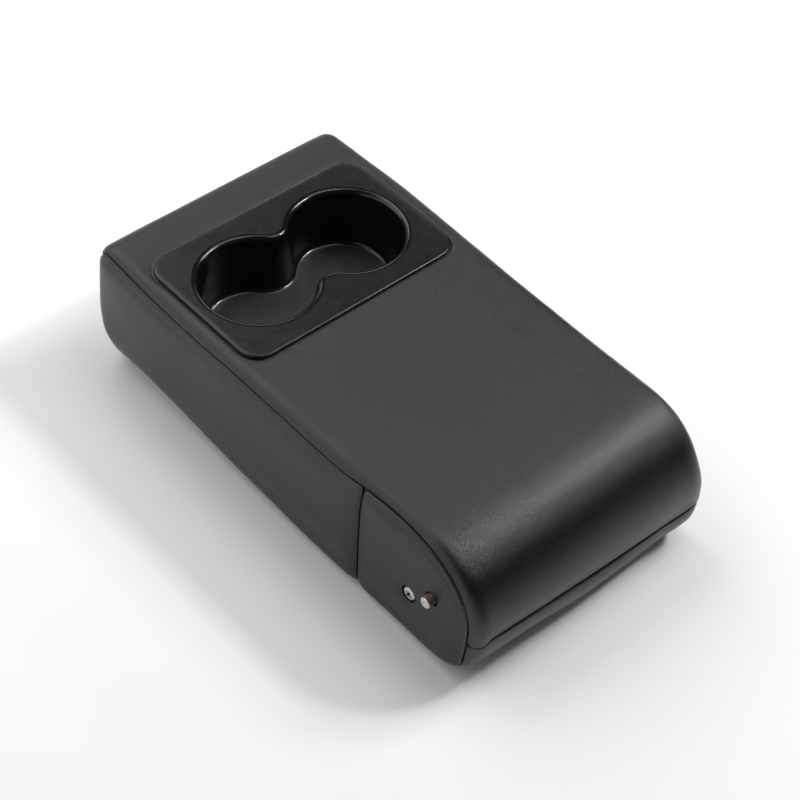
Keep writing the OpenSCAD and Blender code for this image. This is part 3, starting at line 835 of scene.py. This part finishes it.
def make_sewing():
    """The turned-in allowance that closes every seam, and the thread."""
    tapes, threads = [], []
    ww = np.linspace(-96.5, 96.5, 90)
    ss = rear_seam_line(ww)
    p, out = band_point(ss, ww)
    tapes.append(tube(warp(p - out * 3.3), 1.3, False))
    for sgn in (-1, 1):
        path, s = seam_path(sgn, np.full(len(PS[::8]), 2.9))
        tapes.append(tube(path, 1.3, True))
        z = np.linspace(97, 3, 46)
        q, out = side_point(np.c_[seam_line_y(z), z], sgn)
        tapes.append(tube(warp(q - out * (3.2 + 1.5 * (1 - smoothstep(z, 4, 14)))[:, None]), 1.25, False))
        # thread: nearer the surface towards the front corner, where the seam is pulled open
        step = 3.0
        a = np.arange(s_near(189, 60), rear_end(sgn, 0.0, 24.0), step)
        depth = 1.42 - 0.62 * np.exp(-((a - s_top(170)) / 26.0) ** 2) + 0.12 * soft_noise(np.c_[a, a * 0, a * 0], 17.0, 31)
        p0, o0 = band_point(a, sgn * at_profile(W_SEAM, a))
        p1, o1 = band_point(a + step * 0.72, sgn * at_profile(W_SEAM, a + step * 0.72))
        p0 = warp(p0 - o0 * (seam_fall(a) + depth)[:, None])
        p1 = warp(p1 - o1 * (seam_fall(a) + depth)[:, None])
        threads += [stitch(p0[i], p1[i], o0[i], 0.3) for i in range(len(a))]
    a = np.arange(-94.0, 94.0, 3.0)
    p0, o0 = band_point(rear_seam_line(a), a)
    p1, _ = band_point(rear_seam_line(a + 2.1), a + 2.1)
    p0, p1 = warp(p0 - o0 * 1.6), warp(p1 - o0 * 1.6)
    threads += [stitch(p0[i], p1[i], o0[i], 0.3) for i in range(len(a))]
    return merged("seam_allowance", tapes), merged("seam_thread", threads)


# ============================================================ screws


def make_screw(sgn):
    """A pan-head screw with a cross recess, its washer, shank and thread, where the plain one lies."""
    seg = 48
    prof = [(-21.0, 0.0), (-21.0, 1.7), (-20.2, 2.3)]
    x = -20.2
    while x < -1.6:
        prof += [(x + 0.25, 2.5), (x + 0.4, 2.5), (x + 0.65, 2.1), (x + 0.8, 2.1)]
        x += 0.8
    prof += [(-0.6, 2.5), (0.0, 2.6), (0.02, 5.2), (0.12, 5.3), (1.0, 5.3), (1.1, 5.2), (1.12, 4.4), (1.9, 4.4), (1.92, 4.85),
             (2.2, 5.02), (4.1, 5.05), (4.75, 4.9), (5.2, 4.55), (5.5, 3.9), (5.62, 3.1), (5.66, 2.75)]
    verts, faces = [], []
    ring_of = []
    for k, (a, r) in enumerate(prof):
        if r == 0.0:
            ring_of.append([len(verts)])
            verts.append((a, 0, 0))
            continue
        ring_of.append(list(range(len(verts), len(verts) + seg)))
        for i in range(seg):
            t = 2 * math.pi * i / seg
            verts.append((a, r * math.cos(t), r * math.sin(t)))
    # the cross recess: an outline with four arms, drawn in to a point
    def cross(scale, a, half):
        out = []
        for i in range(seg):
            t = 2 * math.pi * i / seg
            c, s_ = abs(math.cos(t)), abs(math.sin(t))
            r = min(half / max(min(c, s_), 1e-6), 2.0)
            out.append((a, scale * r * math.cos(t), scale * r * math.sin(t)))
        return out
    for scale, a in ((1.3, 5.69), (1.2, 5.45), (0.95, 4.3), (0.5, 3.5)):
        ring_of.append(list(range(len(verts), len(verts) + seg)))
        verts += cross(scale, a, 0.6)
    ring_of.append([len(verts)])
    verts.append((3.3, 0, 0))
    recess = 0
    for a, b in zip(ring_of[:-1], ring_of[1:]):
        if b is ring_of[-4]:
            recess = len(faces)
        if len(a) == 1:
            faces += [(a[0], b[i], b[(i + 1) % seg]) for i in range(seg)]
        elif len(b) == 1:
            faces += [(a[i], b[0], a[(i + 1) % seg]) for i in range(seg)]
        else:
            faces += [(a[i], b[i], b[(i + 1) % seg], a[(i + 1) % seg]) for i in range(seg)]
    v = np.array(verts)
    turn = math.radians(24 if sgn < 0 else -31)
    y = v[:, 1] * math.cos(turn) - v[:, 2] * math.sin(turn)
    z = v[:, 1] * math.sin(turn) + v[:, 2] * math.cos(turn)
    v = np.c_[sgn * (98.0 + v[:, 0]), SCREW[0] + y, SCREW[1] + z]
    ob = new_object(("left" if sgn < 0 else "right") + "_pan_screw", v, faces)
    # faces from the cross recess inwards take the second slot, which holds a near-black painted shade; the rest keep
    # the plain zinc
    ob.data.materials.append(None)
    ob.data.materials.append(None)
    for f in ob.data.polygons:
        f.material_index = 1 if f.index >= recess else 0
    bm = bmesh.new()
    bm.from_mesh(ob.data)
    bmesh.ops.recalc_face_normals(bm, faces=bm.faces)
    bm.to_mesh(ob.data)
    bm.free()
    ob.data.set_sharp_from_angle(angle=math.radians(38))
    return ob


# ============================================================ materials


def material(name):
    m = bpy.data.materials.new(name)
    m.use_nodes = True
    nt = m.node_tree
    nt.nodes.clear()
    out = nt.nodes.new("ShaderNodeOutputMaterial")
    b = nt.nodes.new("ShaderNodeBsdfPrincipled")
    nt.links.new(b.outputs[0], out.inputs[0])
    return m, nt, b


def node(nt, kind, **values):
    n = nt.nodes.new(kind)
    for k, v in values.items():
        if k in n.inputs:
            n.inputs[k].default_value = v
        else:
            setattr(n, k, v)
    return n


def coords(nt):
    return nt.nodes.new("ShaderNodeTexCoord").outputs["Object"]


def noise_tex(nt, co, scale, detail=3.0, rough=0.5):
    n = node(nt, "ShaderNodeTexNoise", Scale=scale, Detail=detail, Roughness=rough)
    nt.links.new(co, n.inputs["Vector"])
    return n.outputs[0]


def ramp(nt, value, stops):
    r = nt.nodes.new("ShaderNodeValToRGB")
    nt.links.new(value, r.inputs[0])
    e = r.color_ramp.elements
    while len(e) > len(stops):
        e.remove(e[-1])
    while len(e) < len(stops):
        e.new(0.5)
    for el, (pos, col) in zip(e, stops):
        el.position = pos
        el.color = (*col, 1) if len(col) == 3 else (col[0], col[0], col[0], 1)
    return r.outputs[0]


def grey(v):
    return (v, v, v)


def maths(nt, op, a, b=None, clamp=False):
    m = nt.nodes.new("ShaderNodeMath")
    m.operation = op
    m.use_clamp = clamp
    for k, x in enumerate((a, b)):
        if x is None:
            continue
        if isinstance(x, (int, float)):
            m.inputs[k].default_value = x
        else:
            nt.links.new(x, m.inputs[k])
    return m.outputs[0]


def bump(nt, height, strength, distance, normal=None):
    b = node(nt, "ShaderNodeBump", Strength=strength, Distance=distance)
    nt.links.new(height, b.inputs["Height"])
    if normal is not None:
        nt.links.new(normal, b.inputs["Normal"])
    return b.outputs[0]


def leather_material(name="leather_black", base=0.0048, rough=0.31, ior=1.52):
    m, nt, b = material(name)
    co = coords(nt)
    # colour: near black, a little uneven
    big = noise_tex(nt, co, 24.0, 4.0, 0.6)
    fine = noise_tex(nt, co, 620.0, 2.0, 0.6)
    mix = maths(nt, "ADD", maths(nt, "MULTIPLY", big, 0.7), maths(nt, "MULTIPLY", fine, 0.3))
    col = ramp(nt, mix, [(0.30, (base * 0.80, base * 0.80, base * 0.79)), (0.70, (base * 1.22, base * 1.21, base * 1.18))])
    nt.links.new(col, b.inputs["Base Color"])
    # grain: fine closed cells with soft hair-like creases between them
    warp = node(nt, "ShaderNodeTexNoise", Scale=900.0, Detail=1.0)
    nt.links.new(co, warp.inputs["Vector"])
    vmix = nt.nodes.new("ShaderNodeVectorMath")
    vmix.operation = "MULTIPLY_ADD"
    nt.links.new(warp.outputs["Color"], vmix.inputs[0])
    vmix.inputs[1].default_value = (0.0006, 0.0006, 0.0006)
    nt.links.new(co, vmix.inputs[2])
    cell = node(nt, "ShaderNodeTexVoronoi", Scale=1150.0)
    cell.feature = "DISTANCE_TO_EDGE"
    nt.links.new(vmix.outputs[0], cell.inputs["Vector"])
    creases = ramp(nt, cell.outputs["Distance"], [(0.0, grey(0.0)), (0.18, grey(1.0))])
    pores = noise_tex(nt, co, 2600.0, 2.0, 0.6)
    height = maths(nt, "ADD", maths(nt, "MULTIPLY", creases, 0.7), maths(nt, "MULTIPLY", pores, 0.5))
    n1 = bump(nt, height, 0.42, 0.00022)
    slow = noise_tex(nt, co, 150.0, 3.0, 0.55)
    n2 = bump(nt, slow, 0.12, 0.0012, n1)
    nt.links.new(n2, b.inputs["Normal"])
    r = ramp(nt, maths(nt, "ADD", maths(nt, "MULTIPLY", big, 0.55), maths(nt, "MULTIPLY", creases, 0.45)),
             [(0.25, grey(rough - 0.035)), (0.85, grey(rough + 0.045))])
    nt.links.new(r, b.inputs["Roughness"])
    b.inputs["IOR"].default_value = ior
    b.inputs["Sheen Weight"].default_value = 0.03
    b.inputs["Sheen Roughness"].default_value = 0.4
    return m


def plastic_material(name, base, rough, grain=0.0, grain_scale=1800.0, patch=0.03, coat=0.0, tint=(1, 1, 1), ior=1.45):
    m, nt, b = material(name)
    co = coords(nt)
    big = noise_tex(nt, co, 38.0, 4.0, 0.6)
    col = ramp(nt, big, [(0.3, tuple(base * 0.86 * t for t in tint)), (0.72, tuple(base * 1.16 * t for t in tint))])
    nt.links.new(col, b.inputs["Base Color"])
    r = ramp(nt, noise_tex(nt, co, 90.0, 5.0, 0.65), [(0.3, grey(rough - patch)), (0.7, grey(rough + patch))])
    nt.links.new(r, b.inputs["Roughness"])
    if grain:
        h = noise_tex(nt, co, grain_scale, 3.0, 0.6)
        nt.links.new(bump(nt, h, grain, 0.00015), b.inputs["Normal"])
    b.inputs["IOR"].default_value = ior
    b.inputs["Coat Weight"].default_value = coat
    b.inputs["Coat Roughness"].default_value = 0.12
    return m


def metal_material(name, base, rough, rust=0.0, scratch=0.3, metallic=1.0, end=None):
    m, nt, b = material(name)
    co = coords(nt)
    n = noise_tex(nt, co, 260.0, 5.0, 0.65)
    col = ramp(nt, n, [(0.32, tuple(c * 0.72 for c in base)), (0.68, tuple(min(1, c * 1.15) for c in base))])
    rgb = col
    b.inputs["Metallic"].default_value = metallic
    if rust:
        spots = ramp(nt, noise_tex(nt, co, 420.0, 6.0, 0.7), [(0.56 - 0.22 * rust, grey(0.0)), (0.66 - 0.1 * rust, grey(1.0))])
        if end is not None:
            # the scuffed end faces are bare, whatever the flank looks like
            sep_x = nt.nodes.new("ShaderNodeSeparateXYZ")
            nt.links.new(co, sep_x.inputs[0])
            face = ramp(nt, maths(nt, "MULTIPLY", maths(nt, "ABSOLUTE", sep_x.outputs["X"], 0.0), 1.0 / end),
                        [(0.9925, grey(0.0)), (0.9965, grey(1.0))])
            spots = maths(nt, "MULTIPLY", spots, maths(nt, "SUBTRACT", 1.0, maths(nt, "MULTIPLY", face, 0.85)))
            lighter = nt.nodes.new("ShaderNodeMix")
            lighter.data_type = "RGBA"
            nt.links.new(face, lighter.inputs["Factor"])
            nt.links.new(col, lighter.inputs[6])
            lighter.inputs[7].default_value = (0.72, 0.71, 0.68, 1)
            col = lighter.outputs[2]
        mix = nt.nodes.new("ShaderNodeMix")
        mix.data_type = "RGBA"
        nt.links.new(spots, mix.inputs["Factor"])
        nt.links.new(col, mix.inputs[6])
        mix.inputs[7].default_value = (0.13, 0.058, 0.028, 1)
        rgb = mix.outputs[2]
        nt.links.new(maths(nt, "SUBTRACT", 1.0, maths(nt, "MULTIPLY", spots, 0.85)), b.inputs["Metallic"])
        rr = maths(nt, "ADD", maths(nt, "MULTIPLY", spots, 0.4), rough)
        nt.links.new(rr, b.inputs["Roughness"])
    else:
        r = ramp(nt, noise_tex(nt, co, 700.0, 4.0, 0.6), [(0.3, grey(rough - 0.06)), (0.7, grey(rough + 0.08))])
        nt.links.new(r, b.inputs["Roughness"])
    nt.links.new(rgb, b.inputs["Base Color"])
    h = noise_tex(nt, co, 1500.0, 4.0, 0.7)
    nt.links.new(bump(nt, h, scratch, 0.0001), b.inputs["Normal"])
    return m


def foam_material(name="moulded_foam"):
    m, nt, b = material(name)
    co = coords(nt)
    col = ramp(nt, noise_tex(nt, co, 60.0, 5.0, 0.6), [(0.3, (0.62, 0.53, 0.30)), (0.7, (0.78, 0.71, 0.47))])
    nt.links.new(col, b.inputs["Base Color"])
    cell = node(nt, "ShaderNodeTexVoronoi", Scale=900.0)
    nt.links.new(co, cell.inputs["Vector"])
    nt.links.new(bump(nt, cell.outputs["Distance"], 0.8, 0.0006), b.inputs["Normal"])
    b.inputs["Roughness"].default_value = 0.95
    return m


LEATHER = leather_material()
PLATE = plastic_material("black_plastic_satin", 0.0075, 0.28, grain=0.22, grain_scale=2200.0, ior=1.44)
GLOSS = plastic_material("black_plastic_polished", 0.004, 0.17, grain=0.03, patch=0.03, ior=1.46)
CUP_FLOOR = plastic_material("black_plastic_cup_floor", 0.017, 0.5, grain=0.5, grain_scale=1100.0, patch=0.08)
STRIP = plastic_material("strip_plastic", 0.03, 0.45, grain=0.2)
CARRIER = plastic_material("grey_plastic", 0.1, 0.55, grain=0.3)
NYLON = plastic_material("nylon_natural", 0.72, 0.4, grain=0.1, tint=(1, 0.98, 0.92))
FRAME_STEEL = metal_material("frame_steel_painted", (0.035, 0.035, 0.038), 0.42, metallic=0.0, scratch=0.25)
RUSTY = metal_material("pivot_steel", (0.46, 0.43, 0.40), 0.40, rust=0.75, end=0.11)
SPRING = metal_material("spring_steel", (0.28, 0.28, 0.29), 0.35)
ZINC = metal_material("zinc_steel", (0.68, 0.67, 0.65), 0.46)
# a near-black, rougher copy of the zinc: painted shade inside the screw's cross recess, standing in for the shade that
# falls there
RECESS_PAINTED_SHADE = metal_material("zinc_recess_painted_shade", (0.045, 0.043, 0.040), 0.62)
FOAM = foam_material()
ALLOWANCE = leather_material("leather_allowance", base=0.006, rough=0.6)
THREAD = plastic_material("black_thread", 0.02, 0.5, grain=0.5, grain_scale=2600.0)

BY_SLOT = {"leather": LEATHER, "black_plastic": PLATE, "grey_plastic": CARRIER, "strip_plastic": STRIP,
           "nylon": NYLON, "foam": FOAM, "frame_steel": FRAME_STEEL, "rusty_steel": RUSTY,
           "spring_steel": SPRING, "zinc_steel": ZINC}
for part in frame["record"]["subparts"]:
    ob = NODES[part["node"]]
    ob.data.materials.clear()
    ob.data.materials.append(BY_SLOT[part["material_slot"]])


# ============================================================ cup holder

HALF_SP, CUP_Y, RIM_R, NECK = 40.0, 95.8, 44.0, 27.0
NECK_R = (HALF_SP ** 2 + NECK ** 2 - RIM_R ** 2) / (2 * (RIM_R - NECK))
NECK_Y = NECK + NECK_R
REACH = RIM_R + NECK_R
TURN = math.atan2(NECK_Y, HALF_SP)
BZ1, BZ0, FLOOR_Z = 103.0, 99.9, 57.3
ARC_N, NECK_N = 128, 28


def cup_ring(r, z):
    pts = []
    for k in range(ARC_N + 1):
        a = -math.pi + TURN + (2 * math.pi - 2 * TURN) * k / ARC_N
        pts.append((HALF_SP + r * math.cos(a), CUP_Y + r * math.sin(a), z))
    for k in range(1, NECK_N):
        a = -TURN - (math.pi - 2 * TURN) * k / NECK_N
        pts.append(((REACH - r) * math.cos(a), CUP_Y + NECK_Y + (REACH - r) * math.sin(a), z))
    for k in range(ARC_N + 1):
        a = TURN + (2 * math.pi - 2 * TURN) * k / ARC_N
        pts.append((-HALF_SP + r * math.cos(a), CUP_Y + r * math.sin(a), z))
    for k in range(1, NECK_N):
        a = math.pi - TURN - (math.pi - 2 * TURN) * k / NECK_N
        pts.append(((REACH - r) * math.cos(a), CUP_Y - NECK_Y + (REACH - r) * math.sin(a), z))
    return np.array(pts)


def bezel_ring(i, z):
    w, l, r = BEZEL[0] / 2 - i, BEZEL[1] / 2 - i, BEZEL[2] - i
    base = cup_ring(RIM_R, z)
    out = []
    for x, y, _ in base:
        a = math.atan2(y - BEZEL_Y, x)
        c, s = abs(math.cos(a)), abs(math.sin(a))
        tx, ty = (w / c if c > 1e-6 else 1e6), (l / s if s > 1e-6 else 1e6)
        if tx * s <= l - r:
            t = tx
        elif ty * c <= w - r:
            t = ty
        else:
            q = (w - r) * c + (l - r) * s
            t = q + math.sqrt(max(0.0, q * q - (w - r) ** 2 - (l - r) ** 2 + r * r))
        out.append((t * math.cos(a), BEZEL_Y + t * math.sin(a), z))
    return np.array(out)


def make_insert():
    """The moulded cup holder: plate, rolled rim, drawn walls and floor as one closed form."""
    draft, throat = 4.0, RIM_R - 4.0
    rings, mats = [], []

    def add(ring, mat):
        rings.append(ring)
        mats.append(mat)

    add(cup_ring(throat - draft - 2.4, FLOOR_Z - 2.5), 0)
    add(cup_ring(throat - draft + 2.3, FLOOR_Z + 2.5), 0)
    add(cup_ring(throat + 2.5, BZ0), 0)
    add(bezel_ring(0.25, BZ0), 0)
    add(bezel_ring(0.0, BZ0 + 0.3), 0)
    add(bezel_ring(0.0, BZ1 - 1.5), 0)
    for a in (18, 36, 54, 72, 90):
        add(bezel_ring(1.5 - 1.5 * math.cos(math.radians(a)), BZ1 - 1.5 + 1.5 * math.sin(math.radians(a))), 0)
    add(bezel_ring(4.0, BZ1), 0)
    inner = cup_ring(RIM_R + 0.6, BZ1)
    outer = bezel_ring(4.0, BZ1)
    for f in (0.25, 0.5, 0.75):
        add(outer * (1 - f) + inner * f, 0)
    add(inner, 0)
    for a in np.linspace(0, 90, 13):
        t = math.radians(a)
        add(cup_ring(RIM_R - 4 * math.sin(t), BZ1 - 4 * (1 - math.cos(t))), 1)
    for f in (0.15, 0.35, 0.6, 0.85):
        add(cup_ring(throat - draft * f, (BZ1 - 4) + (FLOOR_Z + 4 - BZ1 + 4) * f), 1)
    for a in np.linspace(0, 90, 9):
        t = math.radians(a)
        add(cup_ring(throat - draft - 4 * (1 - math.cos(t)), FLOOR_Z + 4 - 4 * math.sin(t)), 1 if a < 70 else 2)
    for f in (1.0, 3.0, 6.0, 9.5):
        add(cup_ring(throat - draft - 4 - f, FLOOR_Z), 2)
    n = len(rings[0])
    verts = np.concatenate(rings)
    faces, idx = [], []
    for k in range(len(rings) - 1):
        for i in range(n):
            j = (i + 1) % n
            faces.append((k * n + i, k * n + j, (k + 1) * n + j, (k + 1) * n + i))
            idx.append(mats[k + 1])
    # floor, inside and underneath: strips between the two halves of the last ring
    for base, flip in ((0, True), ((len(rings) - 1) * n, False)):
        loop = list(range(base, base + n))
        tri = geometry.tessellate_polygon([[Vector((verts[i][0], verts[i][1], 0)) for i in loop]])
        for a, b, c in tri:
            f = (loop[a], loop[b], loop[c])
            faces.append(f)
            idx.append(0 if flip else 2)
    ob = new_object("cup_holder", verts, faces, (PLATE, GLOSS, CUP_FLOOR), None)
    ob.data.polygons.foreach_set("material_index", idx)
    bm = bmesh.new()
    bm.from_mesh(ob.data)
    bmesh.ops.recalc_face_normals(bm, faces=bm.faces)
    bm.to_mesh(ob.data)
    bm.free()
    ob.data.set_sharp_from_angle(angle=math.radians(40))
    return ob


# ============================================================ foam


def foam_core():
    """The padded form just inside the leather, as one closed surface."""
    k = np.arange(0, len(PS), 14)
    s = PS[k]
    n = len(s)
    rows = []
    for u in (0.0, 0.35, 0.62, 0.8, 0.9, 0.95, 0.975, 1.0):
        w = W_SEAM[k] * u
        rows.append(("band", w))
    rows.append(("side", EDGE_R[k] - LAM[k] + 3.0))
    half = {}
    for sgn in (-1, 1):
        rings = []
        for kind, v in rows:
            if kind == "band":
                w = v * sgn if v.any() else v
                p, out = band_point(s, w if v.any() else np.full(n, 1e-9 * sgn))
                h, d = band_shift(s, w, p)
                mid = np.clip(1 - (np.abs(w) / 103.0) ** 2, 0, 1)
                h = h - (1.5 + 5.0 * mid) * np.exp(-((s - rear_seam_line(w) - 2.0) / 7.5) ** 2)
                rings.append(warp(p + out * (h - 1.9 - 4.8 * np.exp(-(d / 5.0) ** 2))[:, None]))
            else:
                p2 = PQ[k] - PN[k] * v[:, None]
                p, out = side_point(p2, sgn)
                d = v - (EDGE_R[k] - LAM[k])
                rings.append(warp(p - out * (2.9 + 4.2 * np.exp(-(d / 4.5) ** 2))[:, None]))
        half[sgn] = rings
    rings = half[-1][::-1] + half[1][1:]
    verts = np.concatenate(rings)
    faces = []
    for a in range(len(rings) - 1):
        for i in range(n):
            j = (i + 1) % n
            faces.append((a * n + i, a * n + j, (a + 1) * n + j, (a + 1) * n + i))
    edge = PQ[k] - PN[k] * (EDGE_R[k] - LAM[k] + 3.0)[:, None]
    gx, gy = np.meshgrid(np.arange(-190, 190, 13.0), np.arange(4, 100, 13.0))
    grid = np.c_[gx.ravel(), gy.ravel()]
    grid = grid[inside(grid, edge)]
    grid = grid[distance_to(grid, [edge]) > 6.0]
    flat = np.r_[edge, grid]
    out2 = geometry.delaunay_2d_cdt([Vector((float(a), float(b))) for a, b in flat],
                                    [(i, (i + 1) % n) for i in range(n)], [], 1, 1e-7)
    back = {new: olds[0] for new, olds in enumerate(out2[3])}
    for base, sgn in ((0, -1), ((len(rings) - 1) * n, 1)):
        p, out = side_point(grid, sgn)
        start = len(verts)
        verts = np.r_[verts, warp(p - out * 2.9)]
        faces += [tuple((base + back[v]) if back[v] < n else (start + back[v] - n) for v in f) for f in out2[2]]
    ob = new_object("foam_core", verts, faces)
    bm = bmesh.new()
    bm.from_mesh(ob.data)
    bmesh.ops.recalc_face_normals(bm, faces=bm.faces)
    bm.to_mesh(ob.data)
    bm.free()
    return ob


def make_foam(name, cad, core):
    """A foam pad: what the padded form and the plain pad have in common, with all its pockets."""
    me = NODES[cad].data.copy()
    ob = bpy.data.objects.new(name, me)
    scene_collection.objects.link(ob)
    bm = bmesh.new()
    bm.from_mesh(me)
    bmesh.ops.remove_doubles(bm, verts=bm.verts, dist=1e-6)
    bm.to_mesh(me)
    bm.free()
    cut = ob.modifiers.new("form", "BOOLEAN")
    cut.operation = "INTERSECT"
    cut.solver = "EXACT"
    cut.object = core
    dg = bpy.context.evaluated_depsgraph_get()
    me2 = bpy.data.meshes.new_from_object(ob.evaluated_get(dg))
    ob.modifiers.clear()
    ob.data = me2
    me2.materials.clear()
    me2.materials.append(FOAM)
    me2.polygons.foreach_set("material_index", [0] * len(me2.polygons))
    me2.polygons.foreach_set("use_smooth", [True] * len(me2.polygons))
    me2.set_sharp_from_angle(angle=math.radians(35))
    return ob


# ============================================================ build

top = make_top()
bottom = make_bottom()
sides = [make_side(sgn, front) for sgn in (-1, 1) for front in (True, False)]
for ob in [top, bottom] + sides:
    ob.data.materials.append(LEATHER)
    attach(ob, "armrest")
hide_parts("top_cover")
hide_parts("bottom_cover")
for ob, name in zip(sides, ("left_front", "left_rear", "right_front", "right_rear")):
    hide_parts(name + "_side_cover")

holder = make_insert()
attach(holder, "armrest")
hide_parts("cup_holder_insert")

allowance, thread = make_sewing()
allowance.data.materials.append(ALLOWANCE)
thread.data.materials.append(THREAD)
for ob in (allowance, thread):
    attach(ob, "armrest")

for sgn, side in ((-1, "left"), (1, "right")):
    screw = make_screw(sgn)
    screw.data.materials[0] = ZINC
    # the cross recess is painted with shade: a near-black copy of the zinc
    screw.data.materials[1] = RECESS_PAINTED_SHADE
    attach(screw, "armrest")
    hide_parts(side + "_side_screw")

core = foam_core()
for name in ("upper_foam", "lower_foam"):
    pad = make_foam(name, name + "_pad", core)
    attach(pad, "armrest")
    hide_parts(name + "_pad")
bpy.data.objects.remove(core)

# ============================================================ floor, light, camera

scene = bpy.context.scene
scene.view_settings.view_transform = "Standard"
scene.view_settings.look = "None"

floor_mesh = bpy.data.meshes.new("floor")
floor_mesh.from_pydata([(-4, -4, -0.0004), (4, -4, -0.0004), (4, 4, -0.0004), (-4, 4, -0.0004)], [], [(0, 1, 2, 3)])
floor = bpy.data.objects.new("floor", floor_mesh)
scene.collection.objects.link(floor)
fm, fnt, fb = material("floor_white")
fb.inputs["Base Color"].default_value = (0.92, 0.92, 0.92, 1)
fb.inputs["Roughness"].default_value = 1.0
fb.inputs["Specular IOR Level"].default_value = 0.0
floor_mesh.materials.append(fm)

# a low dark card at the rear, out of the picture, which only reflections see
card_mesh = bpy.data.meshes.new("dark_card")
card_mesh.from_pydata([(-0.25, -0.44, 0.0), (0.60, -0.30, 0.0), (0.60, -0.30, 0.15), (-0.25, -0.44, 0.15)], [], [(0, 1, 2, 3)])
card = bpy.data.objects.new("dark_card", card_mesh)
scene.collection.objects.link(card)
cm, cnt, cb = material("card_black")
cb.inputs["Base Color"].default_value = (0.01, 0.01, 0.01, 1)
cb.inputs["Roughness"].default_value = 1.0
card_mesh.materials.append(cm)
card.visible_camera = False
card.visible_shadow = False
card.visible_diffuse = False

world = bpy.data.worlds.new("studio")
scene.world = world
world.use_nodes = True
wnt = world.node_tree
wnt.nodes.clear()
wout = wnt.nodes.new("ShaderNodeOutputWorld")
bg = wnt.nodes.new("ShaderNodeBackground")
bg.inputs["Strength"].default_value = 1.0
wnt.links.new(bg.outputs[0], wout.inputs[0])
wco = wnt.nodes.new("ShaderNodeTexCoord")
sep = wnt.nodes.new("ShaderNodeSeparateXYZ")
wnt.links.new(wco.outputs["Generated"], sep.inputs[0])
sky = ramp(wnt, sep.outputs["Z"], [(0.0, grey(0.03)), (1.0, grey(0.05))])
wnt.links.new(sky, bg.inputs["Color"])


def area(name, place, target, size, power, spread=math.pi):
    l = bpy.data.lights.new(name, "AREA")
    l.shape = "RECTANGLE"
    l.size, l.size_y = size
    l.energy = power
    l.spread = spread
    ob = bpy.data.objects.new(name, l)
    ob.location = place
    ob.rotation_euler = (Vector(target) - Vector(place)).to_track_quat("-Z", "Y").to_euler()
    scene.collection.objects.link(ob)
    return ob


AIM = (0.0, 0.0, 0.05)
area("window_front", (0.0, 1.926, 0.60), AIM, (1.3, 1.0), 1.7)
area("window_right", (1.296, 1.296, 0.717), AIM, (1.1, 0.9), 3.6)
area("window_left", (-1.296, 1.296, 0.80), AIM, (1.4, 1.2), 8.4)
area("side_panel", (-1.832, 0.0, 0.80), AIM, (1.7, 1.3), 6.3)
area("front_high", (0.0, 1.253, 1.544), AIM, (1.3, 1.3), 14.9)
area("left_high", (-1.0, 0.75, 1.50), AIM, (1.1, 1.1), 3.5)
area("overhead", (0.603, 0.0, 1.905), AIM, (0.9, 0.9), 7.4)
area("key", (1.334, -0.235, 1.453), AIM, (0.4, 0.4), 9.5)
area("key_core", (1.13, -0.55, 1.52), AIM, (0.23, 0.23), 12.2)
area("glint", (1.54, -0.80, 0.95), AIM, (0.16, 0.16), 1.6)

cam_data = bpy.data.cameras.new("camera")
cam_data.sensor_width = 36.0
cam_data.lens = 93.0617888731824
cam = bpy.data.objects.new("camera", cam_data)
right = Vector((0.73688643, -0.67137051, 0.07912037))
up = Vector((0.45564535, 0.57971793, 0.6755105))
back = Vector((-0.49938533, -0.46172369, 0.73309312))
cam.matrix_world = Matrix(((right.x, up.x, back.x, -0.6988726560388025),
                           (right.y, up.y, back.y, -0.6552448095966203),
                           (right.z, up.z, back.z, 1.0722126727470477),
                           (0, 0, 0, 1)))
scene.collection.objects.link(cam)
scene.camera = cam
